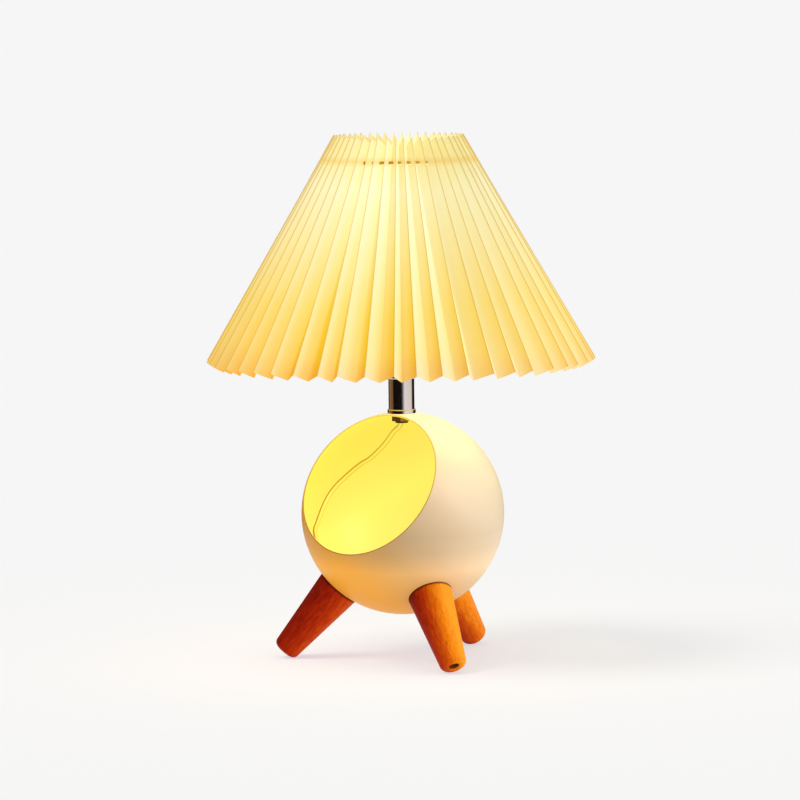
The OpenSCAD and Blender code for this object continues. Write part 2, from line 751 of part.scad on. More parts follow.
module bulb_globe() {
  color("#fffbe8") difference() {
    translate([0, 0, globe_z]) sphere(r = globe_r);
    translate([0, 0, globe_z]) sphere(r = globe_r - globe_wall);
    translate([0, 0, globe_seat_z - globe_d]) cylinder(d = 2 * globe_d, h = globe_d);
  }
}

module cord_inner() {
  color("#d8a93c") tube(curve(inner_route, 2), cord_d, 8, [0, 1, 0]);
}

// Half outline of the bush through the wall: a flange on each side and a tapered sleeve outside
module grommet_outline() {
  bore_r = cord_r + cord_gap;
  inner_face = sqrt(pow(ball_in_r, 2) - pow(flange_d / 2, 2)) - seat_gap;
  sleeve_z = ball_r + flange_t;
  translate([bore_r, inner_face - flange_t]) square([flange_d / 2 - bore_r, flange_t]);
  difference() {
    translate([bore_r, inner_face]) square([flange_d / 2 - bore_r, sleeve_z - inner_face]);
    circle(r = ball_r + seat_gap, $fn = 360);
  }
  polygon([
    [bore_r, inner_face - flange_t], [grommet_d / 2, inner_face - flange_t], [grommet_d / 2, sleeve_z],
    [bore_r + sleeve_tip, sleeve_end], [bore_r, sleeve_end]
  ]);
}

module cord_grommet() {
  color("#e9e4d6") on_outlet() rotate_extrude() grommet_outline();
}

module cord_run() {
  color("#d8a93c") tube(curve(run_route, 2), cord_d, 8, [0, 0, 1]);
}

module cord_link() {
  color("#d8a93c") tube(curve(link_route, 2), cord_d, 8, [0, 0, 1]);
}

module cord_coil() {
  color("#d8a93c") tube(coil_route, cord_d, 6, [0, 0, 1]);
}

// Closed band round all the turns, beside the plug
module cord_tie() {
  inside_w = coil_out_r - coil_in_r + cord_d + 2 * cord_gap;
  climbed = coil_rise * (tie_turn + tie_w / coil_in_r * 90 / PI - 180) / 180;
  inside_h = (coil_layers - 1) * coil_rise + climbed + cord_d + cord_gap;
  middle = (coil_in_r + coil_out_r) / 2;
  color("#f2efe6") translate(laid([coil_at[0], coil_at[1], 0])) rotate([0, 0, cord_heading - 90 + tie_turn])
    translate([middle, 0, 0]) difference() {
      translate([-inside_w / 2 - tie_t, -tie_w / 2, 0])
        cube([inside_w + 2 * tie_t, tie_w, inside_h + 2 * tie_t]);
      translate([-inside_w / 2, -tie_w, tie_t]) cube([inside_w, 2 * tie_w, inside_h]);
    }
}

module at_switch() {
  translate(laid([switch_at[0], switch_at[1], 0])) rotate([0, 0, cord_heading]) children();
}

// Oval outline of the switch, drawn in from its outside by inset
module oval(inset) {
  r = switch_w / 2 - inset;
  reach = (switch_len - switch_w) / 2;
  square([2 * reach, 2 * r], center = true);
  for (side = [-1, 1]) translate([side * reach, 0]) circle(r = r);
}

module switch_posts() {
  for (side = [-1, 1]) translate([side * switch_screw_at[0], side * switch_screw_at[1], 0]) children();
}

module cord_channel() {
  translate([-switch_len, 0, switch_split]) rotate([0, 90, 0]) cylinder(r = cord_r + cord_gap, h = 2 * switch_len);
}

module switch_base() {
  floor_t = 1.6;
  color("#f5f2ea") at_switch() difference() {
    union() {
      difference() {
        linear_extrude(height = switch_split) oval(0);
        translate([0, 0, floor_t]) linear_extrude(height = switch_split) oval(switch_wall);
      }
      switch_posts() cylinder(d = switch_post_d, h = switch_split);
    }
    switch_posts() translate([0, 0, -over]) cylinder(r = switch_screw_d / 2 + cord_gap, h = switch_h);
    switch_posts() translate([0, 0, -over]) cylinder(d = 2 * switch_screw_d + 2 * cord_gap, h = floor_t + over);
    cord_channel();
  }
}

// Crowned lid with the rocker's window and two lugs for its pivot
module switch_cover() {
  crown_across = pow(switch_w, 2) / 20;
  crown_along = pow(switch_len, 2) / 28;
  color("#f5f2ea") at_switch() difference() {
    union() {
      intersection() {
        difference() {
          translate([0, 0, switch_split]) linear_extrude(height = switch_h) oval(0);
          translate([0, 0, switch_split - over]) linear_extrude(height = switch_roof_z - switch_split + over)
            oval(switch_wall);
        }
        translate([-switch_len, 0, switch_h - crown_across]) rotate([0, 90, 0])
          cylinder(r = crown_across, h = 2 * switch_len);
        translate([0, switch_w, switch_h - crown_along]) rotate([90, 0, 0])
          cylinder(r = crown_along, h = 2 * switch_w, $fn = 200);
      }
      switch_posts() translate([0, 0, switch_split]) cylinder(d = switch_post_d, h = switch_roof_z - switch_split);
      for (side = [-1, 1]) translate([-2 * pivot_d, side * (window_w + lug_w) / 2 - lug_w / 2, pivot_z - pivot_d])
        cube([4 * pivot_d, lug_w, switch_roof_z - pivot_z + pivot_d]);
    }
    translate([-window_reach, -window_w / 2, pivot_z - 2 * pivot_d])
      cube([2 * window_reach, window_w, switch_h]);
    translate([0, switch_w, pivot_z]) rotate([90, 0, 0]) cylinder(r = pivot_d / 2 + seat_gap, h = 2 * switch_w);
    switch_posts() cylinder(r = switch_screw_d / 2 + cord_gap, h = switch_roof_z - switch_wall);
    cord_channel();
  }
}

// Rocker at rest with its near end pressed: a dished top over a stem, on a pivot
module switch_rocker() {
  crest = switch_h - pivot_z;
  stem_r = pivot_d / 2;
  color("#f8f6f0") at_switch() translate([0, 0, pivot_z]) rotate([0, -rocker_tilt, 0]) rotate([90, 0, 0])
    translate([0, 0, -rocker_w / 2]) linear_extrude(height = rocker_w) difference() {
      polygon([
        [-rocker_reach, crest], [0, 0.8 * crest], [rocker_reach, crest], [rocker_reach, 0.55 * crest],
        [stem_r, -rocker_stem], [-stem_r, -rocker_stem], [-rocker_reach, 0.55 * crest]
      ]);
      circle(r = pivot_d / 2 + 2 * seat_gap);
    }
}

module switch_pivot() {
  color("#b9bcc0") at_switch() translate([0, pivot_len / 2, pivot_z]) rotate([90, 0, 0])
    cylinder(d = pivot_d, h = pivot_len);
}

// Two fixed brass blades with folded feet, beside the rocker's stem
module switch_contacts() {
  blade_t = 0.8;
  blade_w = 6;
  stand = 1.6;
  blade_x = 5.2 * pivot_d;
  color("#c9a45a") at_switch() for (side = [-1, 1]) rotate([0, 0, side > 0 ? 0 : 180])
    translate([blade_x, -blade_w / 2, stand]) {
      cube([blade_t, blade_w, switch_split]);
      cube([2 * pivot_d, blade_w, blade_t]);
    }
}

module switch_screws() {
  sunk = 0.2;
  color("#b9bcc0") at_switch() switch_posts() translate([0, 0, sunk]) {
    cylinder(d = 2 * switch_screw_d, h = 1.4);
    cylinder(d = switch_screw_d, h = switch_roof_z - 2 * switch_wall);
  }
}

// Puts +X on the plug's axis, from its cord end to its pins
module at_plug() {
  translate(laid(plug_at)) rotate([0, 0, cord_heading + 90]) children();
}

// Puts +Z on each pin's axis, from the plug's face outwards
module on_pins() {
  for (side = [-1, 1]) translate([plug_len, side * pin_gap / 2, 0]) rotate([0, 90, 0]) children();
}

// Flat body that narrows towards the cord, in plan and from the side, with a sleeve on the root of each pin
module plug_body() {
  cord_end_r = cord_r + 2;
  neck = 0.4 * plug_len;
  color("#f5f2ea") at_plug() difference() {
    union() {
      intersection() {
        translate([0, 0, -plug_t]) linear_extrude(height = 2 * plug_t) polygon([
          [0, -cord_end_r], [neck, -0.3 * plug_w], [0.75 * plug_len, -plug_w / 2], [plug_len, -plug_w / 2],
          [plug_len, plug_w / 2], [0.75 * plug_len, plug_w / 2], [neck, 0.3 * plug_w], [0, cord_end_r]
        ]);
        translate([0, plug_w, 0]) rotate([90, 0, 0]) linear_extrude(height = 2 * plug_w) polygon([
          [0, -cord_end_r], [neck, -plug_t / 2], [plug_len, -plug_t / 2], [plug_len, plug_t / 2],
          [neck, plug_t / 2], [0, cord_end_r]
        ]);
      }
      on_pins() translate([0, 0, -over]) cylinder(d = pin_sleeve_d, h = pin_len - pin_bare + over);
    }
    rotate([0, 90, 0]) translate([0, 0, -over]) cylinder(r = cord_r + cord_gap, h = cord_entry + 2 * over);
    on_pins() translate([0, 0, -pin_root]) cylinder(r = pin_core_d / 2 + seat_gap, h = 2 * pin_root);
  }
}

module plug_pins() {
  tip = 1.2;
  color("#c8cacc") at_plug() on_pins() {
    translate([0, 0, -pin_root]) cylinder(d = pin_core_d, h = pin_root + pin_len - pin_bare + tip);
    translate([0, 0, pin_len - pin_bare]) cylinder(d = pin_d, h = pin_bare - tip);
    translate([0, 0, pin_len - tip]) cylinder(d1 = pin_d, d2 = 0.6 * pin_d, h = tip);
  }
}

ball_shell();
leg_front_left();
leg_front_right();
leg_back();
leg_screws();
leg_saddles();
leg_nuts();
threaded_rod();
rod_washer();
rod_nut();
neck_base_ring();
neck_tube();
neck_top_ring();
holder_cap();
holder_barrel();
holder_insert();
holder_shell();
holder_contact();
terminal_screws();
shade_fitter();
shade_spokes();
shade_wire_ring();
shade_ring();
pleated_shade();
bulb_cap();
bulb_contact();
bulb_collar();
bulb_globe();
cord_inner();
cord_grommet();
cord_run();
switch_base();
switch_cover();
switch_rocker();
switch_pivot();
switch_contacts();
switch_screws();
cord_link();
cord_coil();
cord_tie();
plug_body();
plug_pins();
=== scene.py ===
import logging
import math
from dataclasses import dataclass, field
from enum import Enum
from functools import cache
from typing import Any, Protocol

import bpy
from mathutils import Euler, Matrix, Vector


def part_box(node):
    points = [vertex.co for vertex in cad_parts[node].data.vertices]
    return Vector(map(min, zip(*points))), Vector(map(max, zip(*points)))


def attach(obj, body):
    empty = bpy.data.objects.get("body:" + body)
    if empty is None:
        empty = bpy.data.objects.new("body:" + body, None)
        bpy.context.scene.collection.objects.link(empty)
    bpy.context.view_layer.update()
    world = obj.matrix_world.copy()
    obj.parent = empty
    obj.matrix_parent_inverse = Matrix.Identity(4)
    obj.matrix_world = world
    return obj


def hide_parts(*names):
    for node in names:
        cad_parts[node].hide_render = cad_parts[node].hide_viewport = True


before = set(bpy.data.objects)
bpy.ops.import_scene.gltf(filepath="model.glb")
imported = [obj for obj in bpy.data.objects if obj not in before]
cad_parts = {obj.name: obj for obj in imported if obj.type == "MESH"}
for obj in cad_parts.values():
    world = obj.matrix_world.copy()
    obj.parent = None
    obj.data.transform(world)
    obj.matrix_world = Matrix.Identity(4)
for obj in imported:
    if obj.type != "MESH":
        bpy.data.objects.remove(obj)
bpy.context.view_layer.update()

MM = 0.001
LAMP = "lamp"
BULB = "bulb"
LOG = logging.getLogger("table_lamp")
BLACK = (0.0, 0.0, 0.0, 1.0)
WHITE = (1.0, 1.0, 1.0, 1.0)
Piece = bpy.types.Object
Material = bpy.types.Material
Node = bpy.types.Node
Tree = bpy.types.NodeTree
Socket = bpy.types.NodeSocket
Inputs = dict[str | int, Any]
Spot = tuple[float, float]
Point = tuple[float, float, float]
Face = tuple[int, ...]
Stops = tuple[tuple[float, str], ...]
NODES: dict[str, Piece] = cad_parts

# Edges flatter than so many degrees are shaded smooth, on turned and moulded pieces and on thin round ones
SMOOTH = 35.0
ROUND = 60.0

# Sizes that several sub-assemblies share, in millimetres
BALL_R = 78.5
BALL_WALL = 1.2
BALL_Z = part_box("ball_shell")[0].z / MM + BALL_R
BALL_MIDDLE = (0.0, 0.0, BALL_Z * MM)
FLEX_W = 3.8
HEADING = math.radians(126.4)
# Direction of the brighter side, across the floor
WINDOW = (0.805, 0.593, 0.0)


def linear(code: str) -> tuple[float, float, float, float]:
    """Turn an sRGB hex colour into linear values.

    Args:
        code: Colour as "#rrggbb".

    Returns:
        Red, green, blue and an alpha of 1.
    """
    parts = [int(code[i:i + 2], 16) / 255 for i in (1, 3, 5)]
    flat = [p / 12.92 if p <= 0.04045 else ((p + 0.055) / 1.055) ** 2.4 for p in parts]
    return flat[0], flat[1], flat[2], 1.0


def feed(node: Node, inputs: Inputs) -> None:
    """Link or set inputs of a node.

    Args:
        node: Node that gets them.
        inputs: Socket names or numbers with a value, or with an output socket to link.
    """
    for key, value in inputs.items():
        if isinstance(value, Socket):
            node.id_data.links.new(value, node.inputs[key])
        else:
            node.inputs[key].default_value = value


def add(tree: Tree, kind: str, inputs: Inputs | None = None, out: str = "", stops: Stops = (),
        **settings: Any) -> Socket:
    """Add a shader node with its settings and links.

    Args:
        tree: Node tree that gets the node.
        kind: Blender's name of the node type, without the leading ShaderNode.
        inputs: Inputs to link or set.
        out: Name of the wanted output, if it isn't the first one in use.
        stops: Places on a colour ramp with their hex colours, in rising order.
        settings: Properties of the node itself.

    Returns:
        The wanted output of the new node.
    """
    node = tree.nodes.new("ShaderNode" + kind)
    for name, value in settings.items():
        setattr(node, name, value)
    feed(node, inputs or {})
    elements = node.color_ramp.elements if stops else []
    while len(elements) < len(stops):
        elements.new(0.5)
    for element, (place, code) in zip(elements, stops):
        element.position = place
        element.color = linear(code)
    return node.outputs[out] if out else next(socket for socket in node.outputs if socket.enabled)


def blank(name: str) -> tuple[Material, Tree, Node]:
    """Make a material with one Principled shader.

    Args:
        name: Name of the material.

    Returns:
        The material, its node tree and the shader.
    """
    material = bpy.data.materials.new(name)
    material.use_nodes = True
    tree = material.node_tree
    return material, tree, tree.nodes["Principled BSDF"]


class Finish(Protocol):
    """Frozen description of a finish, which can build its material."""

    def material(self) -> Material:
        """Build the material."""


@cache
def made(finish: Finish) -> Material:
    """Build a finish's material once, for all the pieces that share it."""
    return finish.material()


def deselect() -> None:
    """Leave object mode with nothing selected."""
    if bpy.context.object and bpy.context.object.mode != "OBJECT":
        bpy.ops.object.mode_set(mode="OBJECT")
    bpy.ops.object.select_all(action="DESELECT")


def activate(piece: Piece) -> None:
    """Select one piece alone and make it the active one."""
    deselect()
    piece.select_set(True)
    bpy.context.view_layer.objects.active = piece


def mesh_piece(name: str, points: list[Point], faces: list[Face], layer: str, places: list[Spot]) -> Piece:
    """Make a mesh object with a map.

    Args:
        name: Name of the piece.
        points: Corners of the mesh, in metres.
        faces: Corner numbers of each face.
        layer: Name of the map.
        places: Place on the map of each corner of each face.

    Returns:
        The new object, at the origin.
    """
    mesh = bpy.data.meshes.new(name)
    mesh.from_pydata(points, [], faces)
    mesh.update()
    for corner, place in zip(mesh.uv_layers.new(name=layer).data, places):
        corner.uv = place
    piece = bpy.data.objects.new(name, mesh)
    bpy.context.scene.collection.objects.link(piece)
    return piece


def apply_modifier(piece: Piece, kind: str, **settings: Any) -> None:
    """Add a modifier to a piece and apply it.

    Args:
        piece: Object that gets the modifier.
        kind: Blender's name of the modifier type.
        settings: Properties of the modifier.
    """
    activate(piece)
    modifier = piece.modifiers.new(kind.lower(), kind)
    for name, value in settings.items():
        setattr(modifier, name, value)
    bpy.ops.object.modifier_apply(modifier=modifier.name)


def dress(piece: Piece, finish: Finish, angle: float = SMOOTH) -> None:
    """Give a piece one finish.

    Args:
        piece: Object to dress.
        finish: Its only finish.
        angle: Edges flatter than this many degrees are shaded smooth.
    """
    piece.data.materials.clear()
    piece.data.materials.append(made(finish))
    activate(piece)
    bpy.ops.object.shade_smooth_by_angle(angle=math.radians(angle))


def seat(piece: Piece, body: str, slot: str, *nodes: str) -> None:
    """Let a piece ride on a body and stand for solids.

    Args:
        piece: Finished object.
        body: Body that carries it.
        slot: Not used.
        nodes: Solids that the piece stands for.
    """
    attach(piece, body)
    if nodes:
        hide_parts(*nodes)


def laid(side: float, behind: float, up: float) -> Vector:
    """Turn a place on the table into the lamp's own axes.

    Args:
        side: Millimetres to the right of the lamp's middle, seen from the camera.
        behind: Millimetres behind the middle.
        up: Millimetres over the table.

    Returns:
        The place in the lamp's axes, in millimetres.
    """
    x = side * math.sin(HEADING) + behind * math.cos(HEADING)
    y = behind * math.sin(HEADING) - side * math.cos(HEADING)
    return Vector((x, y, up))


@dataclass(frozen=True)
class Plain:
    """Moulded, cast or drawn stuff of one colour, with faint mottling and a fine grit in its surface."""

    name: str
    colour: str
    tint: str
    metallic: float = 0.0
    roughness: float = 0.4
    spread: float = 0.06
    patch_mm: float = 14.0
    grit_mm: float = 0.5
    bump: float = 0.05
    bump_mm: float = 0.1
    coat: float = 0.0
    low: float = 0.3
    high: float = 0.7

    def material(self) -> Material:
        """Build the material from slow patches of tint and a fine grain of bumps.

        Returns:
            The material.
        """
        material, tree, shader = blank(self.name)
        place = add(tree, "TexCoord", out="Object")
        patch = add(tree, "TexNoise", {"Vector": place, "Scale": 1 / (self.patch_mm * MM), "Detail": 3.0})
        grit = add(tree, "TexNoise", {"Vector": place, "Scale": 1 / (self.grit_mm * MM), "Detail": 2.0})
        tones = ((self.low, self.tint), (self.high, self.colour))
        feed(shader, {
            "Base Color": add(tree, "ValToRGB", {"Fac": patch}, stops=tones),
            "Roughness": add(tree, "MapRange", {
                "Value": patch, "From Min": self.low, "From Max": self.high,
                "To Min": self.roughness + self.spread, "To Max": self.roughness - self.spread}),
            "Normal": add(tree, "Bump", {
                "Height": grit, "Strength": self.bump, "Distance": self.bump_mm * MM}),
            "Metallic": self.metallic,
            "Coat Weight": self.coat})
        return material


# Nickel and chrome plate on turned brass: bright, with hardly any grit
CHROME = Plain("polished_chrome", "#e2e1e2", "#d4d3d5", metallic=1.0, roughness=0.09, spread=0.03,
               patch_mm=22.0, grit_mm=0.6, bump=0.01)
# Zinc plate on steel: soft grey, a little cloudy
ZINC = Plain("zinc_plate", "#b4b7ba", "#9b9ea3", metallic=1.0, roughness=0.34, spread=0.08, patch_mm=5.0,
             grit_mm=0.4)
# Blackened steel: dark brown-grey, a little oily
BLACK_STEEL = Plain("blackened_steel", "#4a3826", "#34271b", metallic=1.0, roughness=0.45, spread=0.08,
                    patch_mm=4.0, grit_mm=0.4, bump=0.06)
# Bronzed steel of the lock nut: warm brown
BRONZED_STEEL = Plain("bronzed_steel", "#a07a42", "#7c5c30", metallic=1.0, roughness=0.42, spread=0.08,
                      patch_mm=3.0, grit_mm=0.4, bump=0.06)
# Drawn brass: warm and a little dulled
BRASS = Plain("drawn_brass", "#cda55a", "#b58a43", metallic=1.0, roughness=0.28, spread=0.08, patch_mm=6.0,
              bump=0.04)
# Rolled aluminium of a bulb's cap: pale, with a satin gloss
CAP_METAL = Plain("rolled_aluminium", "#cfd1d3", "#bcbfc2", metallic=1.0, roughness=0.3, patch_mm=5.0,
                  grit_mm=0.4, bump=0.04)
# Nickel plate on the plug's pins: warm grey and bright
PIN_METAL = Plain("nickel_plate", "#c8c6c0", "#b3b1aa", metallic=1.0, roughness=0.2, spread=0.05,
                  patch_mm=4.0, grit_mm=0.4, bump=0.03)
# Moulded thermoset of a lampholder: creamy white and glossy
HOLDER_PLASTIC = Plain("moulded_thermoset", "#f1ede2", "#e8e2d4", roughness=0.24, spread=0.05, patch_mm=20.0,
                       grit_mm=0.7, bump=0.04, coat=0.15)
# White moulded plastic of switch and plug, with the fine spark texture of its mould
SWITCH_PLASTIC = Plain("moulded_white_abs", "#f3f0e8", "#ebe6da", roughness=0.38, spread=0.05, patch_mm=16.0,
                       bump=0.12)
# Matte plastic of the bulb's collar
BULB_PLASTIC = Plain("bulb_plastic", "#f4f1e8", "#ebe7dc", roughness=0.5, spread=0.05, patch_mm=12.0,
                     grit_mm=0.6, bump=0.06)
# Glazed porcelain: smooth and wet-looking
PORCELAIN = Plain("glazed_porcelain", "#f5f2e9", "#ece7da", roughness=0.14, spread=0.04, patch_mm=10.0,
                  grit_mm=0.9, bump=0.02, coat=0.5)
# Pale bronze paint on steel wire and plate: a golden brown, with a soft gloss
CARRIER_PAINT = Plain("bronze_wire_paint", "#c89c30", "#aa8020", roughness=0.42, patch_mm=8.0, grit_mm=0.6,
                      bump=0.06)
# Soft moulded rubber: matte, with a fine skin
RUBBER = Plain("pale_rubber", "#e6e0d0", "#d9d2c0", roughness=0.62, patch_mm=7.0, bump=0.1)
# Soft strap of the cord's tie
TIE_STRAP = Plain("tie_strap", "#efebe0", "#e2dccd", roughness=0.55, patch_mm=4.0, grit_mm=0.4, bump=0.15)


@dataclass(frozen=True)
class BallEnamel:
    """Satin stove enamel on spun steel: cream outside under painted light, yellow in the nook with a painted
    glow, brown at the rim.
    """

    name: str = "satin_enamel"
    rough_low: float = 0.36
    rough_high: float = 0.5
    specular: float = 0.2
    # Strength of the nook's painted glow
    glow: float = 0.72
    share: float = 0.3
    peel_mm: float = 1.6
    peel: float = 0.06
    bump_mm: float = 0.1
    cloud_mm: float = 45.0
    cloud: float = 0.08
    edge_mm: float = 0.25
    lean: float = 0.45
    nook_shade_lean: float = 0.35
    gain: float = 1.3
    enamel_and_painted_light: Stops = (
        (0.2, "#eba332"), (0.26, "#eaa53e"), (0.38, "#d9ab6c"), (0.48, "#d9b78a"), (0.68, "#f3dbb9"),
        (0.8, "#f7e6c3"))
    belt: Stops = (
        (0.1, "#f1f1f1"), (0.25, "#ffffff"), (0.35, "#dedede"), (0.43, "#d2d2d2"), (0.62, "#d8d8d8"),
        (0.75, "#dddddd"), (1.0, "#f1f1f1"))
    nook: Stops = ((0.34, "#feed74"), (0.6, "#fdf470"), (0.78, "#fdea68"), (1.0, "#fde65a"))
    rim: Stops = ((0.25, "#9a6222"), (0.5, "#c48c3a"), (0.75, "#eed45c"))

    def material(self) -> Material:
        """Build the enamel, with inside, rim and outside told apart by their distance from the middle.

        Returns:
            The material.
        """
        material, tree, shader = blank(self.name)
        place = add(tree, "TexCoord", out="Object")
        reach = add(tree, "VectorMath", {0: place, 1: BALL_MIDDLE}, operation="DISTANCE")
        inner_reach = (BALL_R - BALL_WALL + self.edge_mm) * MM
        inside = add(tree, "Math", {0: reach, 1: inner_reach}, operation="LESS_THAN")
        outside = add(tree, "Math", {0: reach, 1: (BALL_R - self.edge_mm) * MM}, operation="GREATER_THAN")
        height = add(tree, "SeparateXYZ", {0: place}, out="Z")
        rise = add(tree, "MapRange", {
            "Value": height, "From Min": (BALL_Z - BALL_R) * MM, "From Max": (BALL_Z + BALL_R) * MM})
        cloud = add(tree, "TexNoise", {"Vector": place, "Scale": 1 / (self.cloud_mm * MM), "Detail": 2.0})
        drift = add(tree, "Math", {0: cloud, 1: self.cloud, 2: rise}, operation="MULTIPLY_ADD")
        # Painted light: the outside turns orange low down and on the side away from WINDOW, as warm light
        # thrown up from the table, and pale yellow at the top under the lit shade
        bright = add(tree, "VectorMath", {0: place, 1: WINDOW}, operation="DOT_PRODUCT")
        side = add(tree, "Math", {
            0: bright, 1: self.lean / (BALL_R * MM), 2: drift}, operation="MULTIPLY_ADD")
        even = 0.5 * self.cloud
        share = add(tree, "MapRange", {
            "Value": side, "From Min": even - self.lean, "From Max": 1 + even + self.lean})
        lit_enamel = add(tree, "ValToRGB", {"Fac": share}, stops=self.enamel_and_painted_light)
        # Light thrown back by the table below and by the shade above leaves a dusky belt between them
        belt = add(tree, "ValToRGB", {"Fac": rise}, stops=self.belt)
        toned = add(tree, "VectorMath", {0: lit_enamel, 1: belt}, operation="MULTIPLY")
        outer = add(tree, "VectorMath", {0: toned, "Scale": self.gain}, operation="SCALE")
        # Painted light: the nook glows yellow as if lit inside, its tone shifting across it with WINDOW; its
        # base colour is dimmed to leave room for the glow
        nook_painted_shading = add(tree, "Math", {
            0: bright, 1: -self.nook_shade_lean / (BALL_R * MM), 2: drift}, operation="MULTIPLY_ADD")
        nook = add(tree, "ValToRGB", {"Fac": nook_painted_shading}, stops=self.nook)
        # The rim's edge is brown low down and turns yellow towards the top
        colour = add(tree, "ValToRGB", {"Fac": rise}, stops=self.rim)
        dim = add(tree, "Mix", {"Factor": 1 - self.share, "A": nook, "B": BLACK}, data_type="RGBA")
        for part, tone in ((outside, outer), (inside, dim)):
            colour = add(tree, "Mix", {"Factor": part, "A": colour, "B": tone}, data_type="RGBA")
        peel = add(tree, "TexNoise", {"Vector": place, "Scale": 1 / (self.peel_mm * MM), "Detail": 1.0})
        feed(shader, {
            "Base Color": colour,
            "Emission Color": nook,
            "Emission Strength": add(tree, "Math", {0: inside, 1: self.glow}, operation="MULTIPLY"),
            "Roughness": add(tree, "MapRange", {
                "Value": cloud, "To Min": self.rough_low, "To Max": self.rough_high}),
            "Normal": add(tree, "Bump", {
                "Height": peel, "Strength": self.peel, "Distance": self.bump_mm * MM}),
            "Specular IOR Level": self.specular})
        return material


class StainAndLight(Enum):
    """Depths of tone with painted light: a place on the row of tones for how lit a leg is, and a share by
    which its sides differ.
    """

    DEEP = (0.24, 0.28)
    MILD = (0.44, 0.42)
    WARM = (0.68, 0.52)


@dataclass(frozen=True)
class StainedWood:
    """Turned rubberwood, stained: fine fibres and short dark pores, with painted shade where the light misses
    it, at the ball and in the screw's hole.
    """

    turn: float
    stain_and_light: StainAndLight
    splay: float = 41.0
    grain_mm: float = 2.2
    waver: float = 0.6
    pore_mm: float = 0.9
    pore_share: float = 0.4
    pore_bump: float = 0.14
    bump_mm: float = 0.15
    stretch: float = 4.5
    radius_mm: float = 13.0
    streak: float = 0.45
    painted_shade_colour: str = "#380a03"
    joint_shade_from_mm: float = 0.66
    joint_shade_to_mm: float = 2.2
    joint_shade_share: float = 0.85
    bore_mm: float = 3.8
    bore_fade_mm: float = 0.3
    bore_shade_share: float = 0.8
    rough_low: float = 0.36
    rough_high: float = 0.52
    specular: float = 0.04
    fibres: Stops = (
        (0.0, "#7a1201"), (0.15, "#981c01"), (0.35, "#b83402"), (0.55, "#d45a04"), (0.75, "#ee820c"),
        (1.0, "#fda024"))
    pores: Stops = ((0.3, "#c08a62"), (0.42, "#ffffff"))

    def material(self) -> Material:
        """Build the wood with its grain along one leg's axis.

        Returns:
            The material.
        """
        material, tree, shader = blank(f"stained_wood_{self.turn:.0f}")
        place = add(tree, "TexCoord", out="Object")
        pose = Euler((0.0, math.radians(180 - self.splay), math.radians(self.turn)))
        along = add(tree, "Mapping", {
            "Vector": place, "Location": BALL_MIDDLE, "Rotation": pose, "Scale": (1.0, 1.0, self.stretch)},
                    vector_type="TEXTURE")
        grain = add(tree, "TexNoise", {
            "Vector": along, "Scale": 1 / (self.grain_mm * MM), "Detail": 4.0, "Distortion": self.waver})
        pore = add(tree, "TexNoise", {"Vector": along, "Scale": 1 / (self.pore_mm * MM), "Detail": 1.0})
        across = pose.to_matrix().transposed() @ Vector(WINDOW)
        bright = add(tree, "VectorMath", {0: along, 1: (across.x, across.y, 0.0)}, operation="DOT_PRODUCT")
        # Painted light: a leg is lighter on its side towards WINDOW, by the swing of its tone
        middle, swing = self.stain_and_light.value
        side = add(tree, "Math", {
            0: bright, 1: swing / (self.radius_mm * MM), 2: middle - 0.5 * self.streak},
                   operation="MULTIPLY_ADD")
        tone = add(tree, "Math", {0: grain, 1: self.streak, 2: side}, operation="MULTIPLY_ADD")
        fibres = add(tree, "ValToRGB", {"Fac": tone}, stops=self.fibres)
        dark = add(tree, "ValToRGB", {"Fac": pore}, stops=self.pores)
        pored = add(tree, "Mix", {"Factor": self.pore_share, "A": fibres, "B": dark},
                    data_type="RGBA", blend_type="MULTIPLY")
        # Painted shade: darker where the leg meets the ball and in the screw's hole
        reach = add(tree, "VectorMath", {0: place, 1: BALL_MIDDLE}, operation="DISTANCE")
        edge = add(tree, "MapRange", {
            "Value": reach, "From Min": (BALL_R + self.joint_shade_from_mm) * MM,
            "From Max": (BALL_R + self.joint_shade_to_mm) * MM, "To Min": self.joint_shade_share, "To Max": 0.0})
        flat = add(tree, "VectorMath", {0: along, 1: (1.0, 1.0, 0.0)}, operation="MULTIPLY")
        apart = add(tree, "VectorMath", {0: flat}, operation="LENGTH")
        hole = add(tree, "MapRange", {
            "Value": apart, "From Min": self.bore_mm * MM,
            "From Max": (self.bore_mm + self.bore_fade_mm) * MM, "To Min": self.bore_shade_share, "To Max": 0.0})
        painted_shade_mask = add(tree, "Math", {0: edge, 1: hole}, operation="MAXIMUM")
        wood = add(tree, "Mix", {"Factor": painted_shade_mask, "A": pored, "B": linear(self.painted_shade_colour)}, data_type="RGBA")
        feed(shader, {
            "Base Color": wood,
            "Roughness": add(tree, "MapRange", {
                "Value": grain, "To Min": self.rough_low, "To Max": self.rough_high}),
            "Normal": add(tree, "Bump", {
                "Height": pore, "Strength": self.pore_bump, "Distance": self.bump_mm * MM}),
            "Specular IOR Level": self.specular})
        return material


